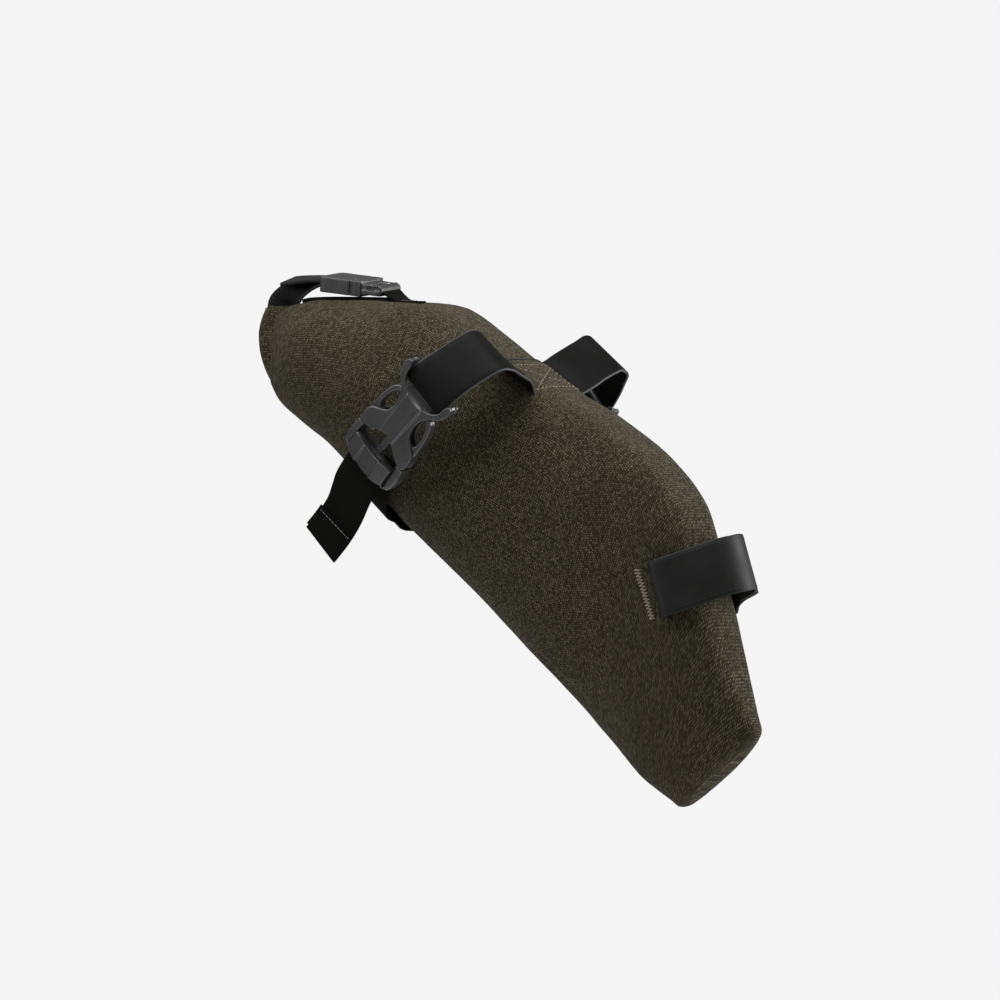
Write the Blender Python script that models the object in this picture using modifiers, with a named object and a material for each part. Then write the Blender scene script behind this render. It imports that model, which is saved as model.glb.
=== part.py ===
"""Roll-top saddle bag: a stuffed fabric bag that hangs under a bicycle saddle.

Frame: +X towards the front of the bicycle, +Z up, and -Y the near side. The origin is on the flat front
face that leans on the seat post, at the height of the seat-post strap. Sizes are written in millimetres.
"""

import math

import bmesh
import bpy
from mathutils import Matrix, Vector
from mathutils.bvhtree import BVHTree

MM = 0.001
GAP = 0.35                      # air between two pieces that touch on the real bag

# Bag body: cross sections from the rolled mouth down to the nose.
# Each row: top x, top z, bottom x, bottom z, half width, roundness of the outline.
SECTIONS = (
    (-329, 164, -335, 122, 17, 3.0),
    (-326, 169.5, -332, 115, 29, 3.2),
    (-319, 173, -326, 107, 37.5, 2.9),
    (-303, 175, -311, 97, 47, 2.5),
    (-274, 175, -287, 82, 56, 2.3),
    (-240, 174, -262, 61, 62, 2.3),
    (-209, 171, -238, 41, 65, 2.3),
    (-180, 154, -213, 20, 66, 2.3),
    (-149, 134, -183, -5, 63, 2.3),
    (-116, 116, -154, -31, 59, 2.3),
    (-81, 98, -125, -58, 53, 2.4),
    (-45, 76, -98, -83, 47, 2.4),
    (-14.8, 45, -74, -106, 41, 2.5),
    (-2.96, 9, -58, -122, 37, 2.6),
    (10.52, -32, -46, -134, 33, 2.7),
    (24.2, -70, -35.5, -144, 26.5, 2.4),
    (34.0, -95, -28, -150, 20.5, 2.1),
    (38.5, -105, -22.5, -154.8, 14.5, 1.85),
    (34, -114, -15, -152.5, 7.5, 1.85),
)
RING_POINTS = 36
RINGS_PER_SECTION = 2
FLAT_SHARE = 1.05               # outlines are cut off level at the top, which makes the flat front face

# Stiff sheet over the belly
BELLY_REAR = (-309, 0, 98)
BELLY_FRONT = (-54, 0, -119)
STIFFENER_HEIGHT = 10
STIFFENER_LENGTH = 290
STIFFENER_HALF_WIDTH = 27
STIFFENER_THICKNESS = 1.2

# Strap across the top of the bag, with a wing on each side for the saddle rails
STRAP_WIDTH = 38
STRAP_THICKNESS = 1.7
WING_STATIONS = (               # centre x, y, z and direction of the width, near side, root to buckle
    ((-134.2, -27, 129), (0.83, 0, -0.56)),
    ((-132, -42, 134.6), (0.80, 0, -0.60)),
    ((-129, -58, 140.6), (0.74, 0, -0.67)),
    ((-129.5, -67, 141.6), (0.74, -0.04, -0.68)),
    ((-134, -74.5, 138), (0.74, -0.06, -0.68)),
    ((-143.5, -84, 129.5), (0.73, -0.06, -0.69)),
    ((-152.8, -92, 121), (0.72, -0.06, -0.69)),
)
CROWN_CENTRE = (-132, 0, 129)
CROWN_HALF_LENGTH = 24
CROWN_WIDTH_DIRECTION = (0.83, 0, -0.56)
CROWN_OUTWARD = (0.56, 0, 0.83)
PATCH_LENGTH = 42               # along the bag
PATCH_WIDTH = 45                # across the bag
PATCH_THICKNESS = 1.0

# Side-release buckles of the saddle straps
BUCKLE_TOP = (-155, -93.5, 118.7)
BUCKLE_BOTTOM = (-216, -81, 67.4)
BUCKLE_SPAN_DIRECTION = (0.72, -0.06, -0.69)
FEMALE_LENGTH = 56
FEMALE_THICKNESS = 11
FEMALE_WALL = 2.3
EAR_HALF_SPAN = 23
WAIST_HALF_SPAN = 11
SHOULDER_HALF_SPAN = 23.5
MOUTH_WALL = 1.8                # beside the mouth, which the prongs pass
SLOT_START = 4.2                # strap slot of a female half, from its end
SLOT_END = 9.5
MALE_LENGTH = 26
GUIDE_LENGTH = 21
GUIDE_HALF_SPAN = 3
PRONG_REACH = 31
PRONG_INNER = 10.5
PRONG_ROOT_MIDDLE = 12.5        # the prongs bend here
WEBBING_THICKNESS = 1.6

# Webbing
TAIL_WIDTH = 32
TAIL_STATIONS = (               # near side, male buckle to sewn end
    ((-217.5, -84.5, 62.5), (0.70, 0, -0.71)),
    ((-223, -86, 50.5), (0.70, 0, -0.71)),
    ((-230.5, -84.5, 38.5), (0.72, 0, -0.69)),
    ((-240.5, -82, 27.5), (0.77, 0, -0.64)),
    ((-253, -80, 16), (0.82, 0, -0.57)),
)
UNDER_WIDTH = 32
UNDER_CENTRE = (-236, 0, 38)
UNDER_LENGTH_DIRECTION = (0.74, 0, -0.67)
UNDER_HUB_HEIGHT = 52
UNDER_REACH = math.radians(40)
UNDER_LIFT = 3.5
UNDER_END_STATIONS = (          # near side, ladder block to the belly
    ((-211.2, -73.3, 67.6), (0.72, 0, -0.69)),
    ((-220, -68.8, 55.5), (0.73, 0, -0.68)),
    ((-228, -57, 44.5), (0.74, 0, -0.67)),
)

# Rolled mouth
ROLL_CENTRE = (-347.2, 0, 144.5)
ROLL_FOLD = 22.5
ROLL_THICKNESS = 14
ROLL_HEIGHT = 55
ROLL_STRIP_WIDTH = 14
ROLL_STRIP_THICKNESS = 1.2
ROLL_STRIP_TOP_INSET = 1.5
ROLL_STRIP_BOTTOM_INSET = 15

# Closure strap and its buckle
CLOSURE_WIDTH = 20
CLOSURE_BUCKLE_START = (-301.5, 0, 187.2)
CLOSURE_BUCKLE_END = (-254.5, 0, 182.0)
CLOSURE_ROLL_ANGLE = 13
CLOSURE_SPAN = 26
CLOSURE_THICKNESS = 8
CLOSURE_FEMALE_LENGTH = 24
CLOSURE_PRONG_REACH = 14

# Seat-post strap, laid out in the plane square to the seat post
POST_LEAN = math.radians(18.2)
POST_STRAP_DROP = -5.5          # centre of the strap below the origin, along the post
LOOP_CENTRE = 5
LOOP_RADIUS = 20.8
ROOT_BACK = -17.5
ROOT_HALF_SPAN = 38
TANGENT_ANGLE = -60             # where the strap from the near side meets the round of the loop
PAD_THICKNESS = 1.0
FLAP_FIRST_ANGLE = 72
STRAP_TIP_BACK = 0

FABRIC = ("fabric_olive", (0.040, 0.036, 0.023), 0.92)
FABRIC_PATCH = ("fabric_patch", (0.052, 0.048, 0.033), 0.90)
RUBBERISED = ("rubberised_strap", (0.022, 0.022, 0.021), 0.62)
WEBBING = ("webbing_black", (0.009, 0.009, 0.008), 0.85)
PLASTIC = ("buckle_plastic", (0.030, 0.031, 0.034), 0.33)
SHEET_PLASTIC = ("stiffener_plastic", (0.55, 0.56, 0.56), 0.45)
THREAD = ("thread_tan", (0.30, 0.25, 0.19), 0.80)
HOOK = ("hook_and_loop", (0.012, 0.012, 0.012), 0.95)


# ---------------------------------------------------------------- scene and helpers

def clear_scene():
    for item in list(bpy.data.objects):
        bpy.data.objects.remove(item, do_unlink=True)


def collection(name):
    made = bpy.data.collections.new(name)
    bpy.context.scene.collection.children.link(made)
    return made


clear_scene()
PARTS = collection("saddle_bag")
CUTTERS = collection("cutters")


def material(look):
    name, colour, roughness = look
    made = bpy.data.materials.get(name)
    if made is None:
        made = bpy.data.materials.new(name)
        made.use_nodes = True
        shader = made.node_tree.nodes["Principled BSDF"]
        shader.inputs["Base Color"].default_value = (*colour, 1)
        shader.inputs["Roughness"].default_value = roughness
        shader.inputs["Metallic"].default_value = 0
    return made


def own_material(name, look):
    made = material(look).copy()
    made.name = f"{name}_{look[0]}"
    return made


def add_object(name, mesh, look, matrix=None):
    """Put a mesh whose points are in millimetres into the scene, in metres."""
    mesh.transform(Matrix.Scale(MM, 4) @ (matrix or Matrix.Identity(4)))
    mesh.materials.clear()
    mesh.materials.append(own_material(name, look))
    made = bpy.data.objects.new(name, mesh)
    PARTS.objects.link(made)
    return made


def add_cutter(name, mesh, matrix=None):
    mesh.transform(Matrix.Scale(MM, 4) @ (matrix or Matrix.Identity(4)))
    made = bpy.data.objects.new(name, mesh)
    CUTTERS.objects.link(made)
    made.hide_render = True
    made.display_type = "WIRE"
    return made


def boolean(target, tool, operation="DIFFERENCE"):
    step = target.modifiers.new(tool.name, "BOOLEAN")
    step.operation = operation
    step.solver = "EXACT"
    step.object = tool


def mesh_from(build, name):
    shape = bmesh.new()
    build(shape)
    bmesh.ops.recalc_face_normals(shape, faces=shape.faces)
    mesh = bpy.data.meshes.new(name)
    shape.to_mesh(mesh)
    shape.free()
    return mesh


def box_mesh(name, low, high):
    def build(shape):
        bmesh.ops.create_cube(shape, size=1)
        low_corner = Vector(low)
        size = Vector(high) - low_corner
        for vertex in shape.verts:
            vertex.co = low_corner + Vector([(vertex.co[i] + 0.5) * size[i] for i in range(3)])
    return mesh_from(build, name)


def plate_mesh(name, outline, low, high):
    """A flat outline in the first two axes, given depth from low to high along the third."""
    def build(shape):
        face = shape.faces.new([shape.verts.new((x, y, low)) for x, y in outline])
        grown = bmesh.ops.extrude_face_region(shape, geom=[face])
        lifted = [item for item in grown["geom"] if isinstance(item, bmesh.types.BMVert)]
        bmesh.ops.translate(shape, verts=lifted, vec=(0, 0, high - low))
    return mesh_from(build, name)


def both_sides(half):
    """Complete an outline from its half at positive second coordinate."""
    return list(half) + [(x, -y) for x, y in reversed(half) if y != 0]


def bevel(target, width, segments=2, angle=35):
    step = target.modifiers.new("bevel", "BEVEL")
    step.width = width * MM
    step.segments = segments
    step.limit_method = "ANGLE"
    step.angle_limit = math.radians(angle)


def smooth(points, steps):
    """Points on a Catmull-Rom curve through vectors of any length."""
    size = len(points[0])
    made = []
    for i in range(len(points) - 1):
        before = points[max(i - 1, 0)]
        start = points[i]
        end = points[i + 1]
        after = points[min(i + 2, len(points) - 1)]
        for k in range(steps):
            t = k / steps
            made.append([
                0.5 * (2 * start[j] + (end[j] - before[j]) * t
                       + (2 * before[j] - 5 * start[j] + 4 * end[j] - after[j]) * t * t
                       + (3 * start[j] - before[j] - 3 * end[j] + after[j]) * t ** 3)
                for j in range(size)
            ])
    made.append(list(points[-1]))
    return made


def grid_mesh(name, rows):
    """An open sheet through rows of points."""
    count = len(rows[0])

    def build(shape):
        bmesh.ops.create_grid(shape, x_segments=count - 1, y_segments=len(rows) - 1, size=1)
        shape.verts.ensure_lookup_table()
        ordered = sorted(shape.verts, key=lambda vertex: (round(vertex.co.y, 4), round(vertex.co.x, 4)))
        for number, vertex in enumerate(ordered):
            vertex.co = rows[number // count][number % count]
    return mesh_from(build, name)


def sheet(name, rows, thickness, look, outward=None, centred=False):
    """A bent sheet with thickness. It grows to the side that outward points to, or equally both ways."""
    mesh = grid_mesh(name, rows)
    made = add_object(name, mesh, look)
    if outward is not None:
        middle = mesh.polygons[len(mesh.polygons) // 2]
        if middle.normal.dot(Vector(outward)) < 0:
            mesh.flip_normals()
    step = made.modifiers.new("thickness", "SOLIDIFY")
    step.thickness = thickness * MM
    step.offset = 0 if centred else 1
    step.use_even_offset = True
    return made


def strap_rows(stations, width, across=3, steps=3):
    """Rows of points for a strap that follows (centre, width direction) stations."""
    rows = []
    for values in smooth([(*centre, *direction) for centre, direction in stations], steps):
        centre = Vector(values[:3])
        direction = Vector(values[3:]).normalized()
        rows.append([centre + direction * width * (k / (across - 1) - 0.5) for k in range(across)])
    return rows


def mirrored(rows):
    return [[Vector((p.x, -p.y, p.z)) for p in row] for row in rows]


# ---------------------------------------------------------------- bag body

def section_frame(values):
    top = Vector((values[0], 0, values[1]))
    bottom = Vector((values[2], 0, values[3]))
    return (top + bottom) / 2, (top - bottom).normalized(), (top - bottom).length / 2, values[4], values[5]


def section_point(values, angle):
    """Point of a section's outline; angle 90 degrees is the top."""
    centre, up, half_height, half_width, roundness = section_frame(values)
    cosine = math.cos(angle)
    sine = math.sin(angle)
    share = 2 / roundness
    across = half_width * math.copysign(abs(cosine) ** share, cosine)
    rise = math.copysign(min(1, FLAT_SHARE * abs(sine) ** share), sine)
    return centre + up * rise * half_height + Vector((0, across, 0))


def all_sections():
    return smooth(SECTIONS, RINGS_PER_SECTION)


def body_mesh():
    def build(shape):
        rings = []
        for values in all_sections():
            angles = [2 * math.pi * (k + 0.5) / RING_POINTS for k in range(RING_POINTS)]
            rings.append([shape.verts.new(section_point(values, angle)) for angle in angles])
        for first, second in zip(rings, rings[1:]):
            for k in range(RING_POINTS):
                nxt = (k + 1) % RING_POINTS
                shape.faces.new((first[k], first[nxt], second[nxt], second[k]))
        shape.faces.new(rings[0])
        shape.faces.new(rings[-1])
    return mesh_from(build, "bag_body")


BODY_MESH = body_mesh()
BODY_TREE = BVHTree.FromPolygons(
    [vertex.co.copy() for vertex in BODY_MESH.vertices],
    [tuple(polygon.vertices) for polygon in BODY_MESH.polygons],
)
CAST_FROM = 150


def on_body(point, outward, height):
    """The place on the bag under a point, looking against outward, lifted off the fabric by height."""
    direction = Vector(outward).normalized()
    hit, normal, _, _ = BODY_TREE.ray_cast(Vector(point) + direction * CAST_FROM, -direction)
    return hit + normal * height


def patch_rows(centre, along, across, outward, length, width, height, rows=6, columns=6):
    """Rows of points of a rectangle laid on the bag."""
    along = Vector(along).normalized()
    across = Vector(across).normalized()
    made = []
    for i in range(rows):
        start = Vector(centre) + along * length * (i / (rows - 1) - 0.5)
        made.append([
            on_body(start + across * width * (k / (columns - 1) - 0.5), outward, height)
            for k in range(columns)
        ])
    return made


def belly_matrix(height):
    """Frame of the nearly straight belly: x from the mouth to the nose, z into the bag, raised by height."""
    along = (Vector(BELLY_FRONT) - Vector(BELLY_REAR)).normalized()
    across = Vector((0, 1, 0))
    inward = along.cross(across)
    turned = Matrix((along, across, inward)).transposed().to_4x4()
    return Matrix.Translation(Vector(BELLY_REAR) + inward * height) @ turned


def bag_body_and_stiffener():
    """The stuffed bag, with a pocket over its belly that holds a stiff sheet.

    The pocket narrows to a tongue that is open at the mouth end, behind the roll.
    """
    bag = add_object("bag_body", BODY_MESH.copy(), FABRIC)
    matrix = belly_matrix(STIFFENER_HEIGHT)
    pocket = both_sides(((-45, 2.5), (-17, 2.5), (-4, 11), (12, 22), (34, STIFFENER_HALF_WIDTH),
                         (STIFFENER_LENGTH, STIFFENER_HALF_WIDTH), (STIFFENER_LENGTH + 20, 17)))
    slot = plate_mesh("pocket", pocket, -STIFFENER_THICKNESS / 2 - 0.5, STIFFENER_THICKNESS / 2 + 0.5)
    boolean(bag, add_cutter("pocket", slot, matrix))
    plate = both_sides(((14, 21), (35, STIFFENER_HALF_WIDTH - 1),
                        (STIFFENER_LENGTH - 1, STIFFENER_HALF_WIDTH - 1), (STIFFENER_LENGTH + 18, 16)))
    stiffener = plate_mesh("base_stiffener", plate, -STIFFENER_THICKNESS / 2, STIFFENER_THICKNESS / 2)
    add_object("base_stiffener", stiffener, SHEET_PLASTIC, matrix)


# ---------------------------------------------------------------- saddle strap

def crown_rows(lift):
    """Rows of the strap's middle, sewn on the top of the bag, from the near side to the far side."""
    steps = 8
    rows = []
    for k in range(steps + 1):
        y = CROWN_HALF_LENGTH * (2 * k / steps - 1)
        centre = Vector(CROWN_CENTRE) + Vector((0, y, 0))
        direction = Vector(CROWN_WIDTH_DIRECTION)
        rows.append([on_body(centre + direction * STRAP_WIDTH * share, CROWN_OUTWARD, lift)
                     for share in (-0.5, 0, 0.5)])
    return rows


def saddle_strap():
    lift = 0.8
    wing = strap_rows(WING_STATIONS, STRAP_WIDTH)
    rows = list(reversed(wing)) + crown_rows(lift) + mirrored(wing)
    sheet("saddle_strap", rows, STRAP_THICKNESS, RUBBERISED, outward=(0, 0, 1))
    patch = patch_rows(CROWN_CENTRE, CROWN_WIDTH_DIRECTION, (0, 1, 0), CROWN_OUTWARD,
                       PATCH_LENGTH, PATCH_WIDTH, lift + STRAP_THICKNESS + 2 * GAP)
    sheet("strap_patch", patch, PATCH_THICKNESS, FABRIC_PATCH, outward=(0, 0, 1))


# ---------------------------------------------------------------- buckles

def buckle_matrix(start, end, span_direction, outward):
    """Frame of a buckle: x runs from the female end to the male end, y along its span, z outwards."""
    length = (Vector(end) - Vector(start)).normalized()
    span = Vector(span_direction)
    span = (span - length * span.dot(length)).normalized()
    face = length.cross(span)
    if face.dot(Vector(outward)) < 0:
        span = -span
        face = length.cross(span)
    turned = Matrix((length, span, face)).transposed().to_4x4()
    return Matrix.Translation(Vector(start)) @ turned


def female_half(name, matrix, scale=1.0, thickness=FEMALE_THICKNESS, length=FEMALE_LENGTH):
    """Hollow half: open mouth at the end, windows at the waist and a bar for the strap."""
    half = thickness / 2
    ear = EAR_HALF_SPAN * scale
    waist = WAIST_HALF_SPAN * scale
    shoulder = SHOULDER_HALF_SPAN * scale
    unit = length / FEMALE_LENGTH
    outline = both_sides([
        (0, ear), (11 * unit, ear), (16 * unit, waist + 4 * scale), (21 * unit, waist), (36 * unit, waist),
        (43 * unit, shoulder - 5 * scale), (47 * unit, shoulder), (length, shoulder - 0.5 * scale),
    ])
    half_body = add_object(name, plate_mesh(name, outline, -half, half), PLASTIC, matrix)
    bevel(half_body, 1.2, segments=1)
    inner = half - FEMALE_WALL
    mouth = shoulder - MOUTH_WALL * scale
    slot_span = ear - 3.4 * scale
    far_out = 2 * EAR_HALF_SPAN
    tools = (
        ("mouth", (14 * unit, -mouth, -inner), (length + 9, mouth, inner)),
        ("window", (14.8 * unit, -far_out, -inner + 0.05), (45 * unit, far_out, inner - 0.05)),
        ("strap_slot", (SLOT_START * unit, -slot_span - 0.4, -half - 5), (SLOT_END * unit, slot_span + 0.4, half + 5)),
        ("strap_notch", (-5, -slot_span, 1.2 * unit), (SLOT_START * unit + 0.4, slot_span, half + 6)),
    )
    for label, low, high in tools:
        boolean(half_body, add_cutter(f"{name}_{label}", box_mesh(label, low, high), matrix))
    return half_body


def male_half(name, matrix, scale=1.0, thickness=FEMALE_THICKNESS, start=FEMALE_LENGTH, length=MALE_LENGTH):
    """Ladder block with two slots for the webbing, and a middle guide that runs into the female half."""
    half = thickness / 2
    span = (SHOULDER_HALF_SPAN - 0.5) * scale
    first = start + GAP + 0.2
    last = start + length
    outline = both_sides([(first, span), (last - 9 * scale, span), (last - 2.5 * scale, span - 5 * scale),
                          (last, span - 11 * scale)])
    block = add_object(name, plate_mesh(name, outline, -half, half), PLASTIC, matrix)
    inner = half - FEMALE_WALL - 0.4
    low_end = (start - GUIDE_LENGTH * scale, -GUIDE_HALF_SPAN * scale, -inner)
    high_end = (first + 3, GUIDE_HALF_SPAN * scale, inner)
    boolean(block, add_cutter(f"{name}_guide", box_mesh("guide", low_end, high_end), matrix), "UNION")
    slot = span - 5 * scale
    rung = (length - 6) / 3
    for number in range(2):
        low = first + 4 + number * (rung + 3)
        tool = box_mesh("slot", (low, -slot, -half - 5), (low + rung - 0.5, slot, half + 5))
        boolean(block, add_cutter(f"{name}_slot_{number}", tool, matrix))
    return block


def prong(name, matrix, side, scale=1.0, thickness=FEMALE_THICKNESS, start=FEMALE_LENGTH, reach=PRONG_REACH):
    """Sprung arm with a release tab that shows in the female half's window."""
    half = thickness / 2 - FEMALE_WALL - 0.4
    inner = PRONG_INNER * scale
    outer = (SHOULDER_HALF_SPAN - MOUTH_WALL - 0.4) * scale
    unit = reach / PRONG_REACH
    outline = [
        (start + 0.1, inner), (start + 0.1, inner + 4 * scale), (start - 13 * unit, inner + 5 * scale),
        (start - 17 * unit, outer), (start - 28 * unit, outer), (start - reach, inner + 3.5 * scale),
        (start - reach + 2, inner + 0.5 * scale), (start - 13 * unit, inner),
    ]
    outline = [(x, side * y) for x, y in outline]
    made = add_object(name, plate_mesh(name, outline, -half, half), PLASTIC, matrix)
    hinge = matrix @ Vector((start, side * PRONG_ROOT_MIDDLE * scale, 0)) * MM
    made.data.transform(Matrix.Translation(-hinge))
    made.location = hinge
    return made


def side_buckle(side, label):
    """The buckle of one saddle strap, with the webbing tail that hangs from its ladder block."""
    flip = Vector((1, side, 1))
    start = Vector(BUCKLE_TOP) * flip
    end = Vector(BUCKLE_BOTTOM) * flip
    matrix = buckle_matrix(start, end, Vector(BUCKLE_SPAN_DIRECTION) * flip, (0, -side, 0))
    female_half(f"{label}_buckle_female", matrix)
    male_half(f"{label}_buckle_male", matrix)
    for turn in (1, -1):
        points_forward = (matrix.to_3x3() @ Vector((0, turn, 0))).x > 0
        prong(f"{label}_prong_{'front' if points_forward else 'rear'}", matrix, turn)
    rows = strap_rows(TAIL_STATIONS, TAIL_WIDTH)
    if side < 0:
        rows = mirrored(rows)
    sheet(f"{label}_webbing_tail", rows, WEBBING_THICKNESS, WEBBING, centred=True)


# ---------------------------------------------------------------- webbing under the bag

def compression_webbing():
    """Webbing that hangs under the belly of the bag from one ladder block to the other."""
    axis = Vector(UNDER_LENGTH_DIRECTION).normalized()
    down = Vector((axis.z, 0, -axis.x))
    hub = Vector(UNDER_CENTRE) - down * UNDER_HUB_HEIGHT
    belly = []
    steps = 12
    for k in range(steps + 1):
        angle = UNDER_REACH * (2 * k / steps - 1)
        outward = down * math.cos(angle) + Vector((0, math.sin(angle), 0))
        belly.append([on_body(hub + axis * UNDER_WIDTH * share, outward, UNDER_LIFT) for share in (-0.5, 0, 0.5)])
    near = strap_rows(UNDER_END_STATIONS, UNDER_WIDTH)
    rows = near + belly + list(reversed(mirrored(near)))
    sheet("compression_webbing", rows, WEBBING_THICKNESS, WEBBING, outward=(0, 0, -1))


# ---------------------------------------------------------------- rolled mouth

def rounded_bar(length, width, steps=6):
    """Outline of a bar with half-round ends, centred, long axis first."""
    radius = width / 2
    straight = length / 2 - radius
    points = []
    for sign in (1, -1):
        for k in range(steps + 1):
            angle = math.radians(-90 + 180 * k / steps)
            points.append((sign * (straight + radius * math.cos(angle)), sign * radius * math.sin(angle)))
    return points


def roll_top():
    """The rolled and flattened mouth, with a stiff strip inside its first turn."""
    centre = Matrix.Translation(Vector(ROLL_CENTRE))
    half = ROLL_HEIGHT / 2
    roll = add_object("roll_top", plate_mesh("roll_top", rounded_bar(ROLL_FOLD, ROLL_THICKNESS), -half, half),
                      FABRIC, centre)
    slot = rounded_bar(ROLL_STRIP_WIDTH + 2 * GAP, ROLL_STRIP_THICKNESS + 2 * GAP)
    bottom = -half + ROLL_STRIP_BOTTOM_INSET
    top = half - ROLL_STRIP_TOP_INSET
    boolean(roll, add_cutter("roll_slot", plate_mesh("roll_slot", slot, -half - 5, half + 5), centre))
    strip = rounded_bar(ROLL_STRIP_WIDTH, ROLL_STRIP_THICKNESS)
    add_object("roll_stiffener", plate_mesh("roll_stiffener", strip, bottom, top), SHEET_PLASTIC, centre)


# ---------------------------------------------------------------- closure strap

def closure():
    """Short strap that holds the roll down to the top of the bag, with its own side-release buckle."""
    scale = CLOSURE_SPAN / 2 / SHOULDER_HALF_SPAN
    angle = math.radians(CLOSURE_ROLL_ANGLE)
    span = (0, math.cos(angle), math.sin(angle))
    start = Vector(CLOSURE_BUCKLE_START)
    end = Vector(CLOSURE_BUCKLE_END)
    length = (end - start).length
    matrix = buckle_matrix(start, end, span, (0, 0, 1))
    common = {"scale": scale, "thickness": CLOSURE_THICKNESS}
    female_half("closure_buckle_female", matrix, length=CLOSURE_FEMALE_LENGTH, **common)
    male_half("closure_buckle_male", matrix, start=CLOSURE_FEMALE_LENGTH, length=length - CLOSURE_FEMALE_LENGTH,
              **common)
    for side, label in ((1, "far"), (-1, "near")):
        prong(f"closure_prong_{label}", matrix, side, start=CLOSURE_FEMALE_LENGTH, reach=CLOSURE_PRONG_REACH,
              **common)
    top = Vector(ROLL_CENTRE) + Vector((0, 0, ROLL_HEIGHT / 2))
    rear = (
        (top + Vector((4, 0, GAP)), (0.82, 0.57, 0)),
        (top + Vector((5.5, 0, 5)), (0.82, 0.57, 0)),
        (top + Vector((11, 0, 11.5)), (0.62, 0.78, 0.10)),
        (top + Vector((24, 0, 14.2)), (0.20, 0.97, 0.16)),
        (start + Vector((-1.5, 0, 0)), span),
    )
    sheet("closure_webbing_rear", strap_rows(rear, CLOSURE_WIDTH), WEBBING_THICKNESS, WEBBING, centred=True)
    front = (
        (end + Vector((1.0, 0, -1.6)), span),
        (end + Vector((6, 0, -3.6)), (0, 1, 0.06)),
        (end + Vector((13, 0, -5.0)), (0, 1, 0)),
        (end + Vector((19, 0, -5.2)), (0, 1, 0)),
    )
    sheet("closure_webbing_front", strap_rows(front, CLOSURE_WIDTH), WEBBING_THICKNESS, WEBBING, centred=True)


# ---------------------------------------------------------------- seat-post strap

FORWARD = Vector((math.cos(POST_LEAN), 0, math.sin(POST_LEAN)))
ALONG_POST = Vector((-math.sin(POST_LEAN), 0, math.cos(POST_LEAN)))


def post_plane(forward, across):
    return FORWARD * forward + Vector((0, across, 0)) + ALONG_POST * POST_STRAP_DROP


def post_rows(path, width=STRAP_WIDTH):
    return [[post_plane(*place) + ALONG_POST * width * share for share in (-0.5, 0.5)] for place in path]


def arc(radius, first, last, steps):
    angles = [math.radians(first + (last - first) * k / steps) for k in range(steps + 1)]
    return [(LOOP_CENTRE + radius * math.cos(angle), radius * math.sin(angle)) for angle in angles]


def set_hinge(made, place):
    hinge = post_plane(*place) * MM
    made.data.transform(Matrix.Translation(-hinge))
    made.location = hinge


def seat_post_straps():
    """A long strap round the post from the near side, tucked in under a short flap on the far side."""
    root = (ROOT_BACK, -ROOT_HALF_SPAN)
    loop = [root] + arc(LOOP_RADIUS, TANGENT_ANGLE, 90, 15) + [(STRAP_TIP_BACK, LOOP_RADIUS + 1.2)]
    strap = sheet("seatpost_strap", post_rows(loop), STRAP_THICKNESS, RUBBERISED, centred=True)
    set_hinge(strap, root)
    hook_radius = LOOP_RADIUS + STRAP_THICKNESS / 2 + GAP
    hook_path = arc(hook_radius, 62, 90, 5) + [(STRAP_TIP_BACK, hook_radius + 1.2)]
    hook = sheet("strap_hook_pad", post_rows(hook_path, STRAP_WIDTH - 6), PAD_THICKNESS, HOOK, outward=(0, 1, 0))
    set_hinge(hook, root)
    far_root = (ROOT_BACK, ROOT_HALF_SPAN)
    pile_radius = hook_radius + PAD_THICKNESS + GAP
    pile_path = arc(pile_radius, FLAP_FIRST_ANGLE, 90, 5) + [(STRAP_TIP_BACK, pile_radius + 1.3)]
    pile = sheet("flap_loop_pad", post_rows(pile_path, STRAP_WIDTH - 6), PAD_THICKNESS, HOOK, outward=(0, 1, 0))
    set_hinge(pile, far_root)
    flap_radius = pile_radius + PAD_THICKNESS + STRAP_THICKNESS / 2 + GAP
    flap_path = arc(flap_radius, FLAP_FIRST_ANGLE - 2, 90, 5) + [(STRAP_TIP_BACK, flap_radius + 1.6), far_root]
    flap = sheet("seatpost_flap", post_rows(flap_path), STRAP_THICKNESS, RUBBERISED, centred=True)
    set_hinge(flap, far_root)


def bar_tacks():
    """Dense rows of thread that hold the seat-post straps, one on each side of the bag."""
    for side, label in ((-1, "near"), (1, "far")):
        centre = post_plane(ROOT_BACK - 9, side * ROOT_HALF_SPAN)
        rows = patch_rows(centre, ALONG_POST, FORWARD, (0, side, 0), 33, 3.3, 0.5, rows=7, columns=3)
        sheet(f"{label}_bar_tack", rows, 0.6, THREAD, outward=(0, side, 0))


def main():
    bag_body_and_stiffener()
    saddle_strap()
    side_buckle(1, "near")
    side_buckle(-1, "far")
    compression_webbing()
    roll_top()
    closure()
    seat_post_straps()
    bar_tacks()


main()
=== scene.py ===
"""Looks of the roll-top saddle bag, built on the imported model.

Shapes are written in millimetres, in the frame of the CAD model: +X to the front of the bicycle, -Y to
the near side, +Z up. They become metres when a mesh is made.
"""

import math

import bmesh
import bpy
from mathutils import Matrix, Vector, noise
from mathutils.bvhtree import BVHTree

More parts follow.
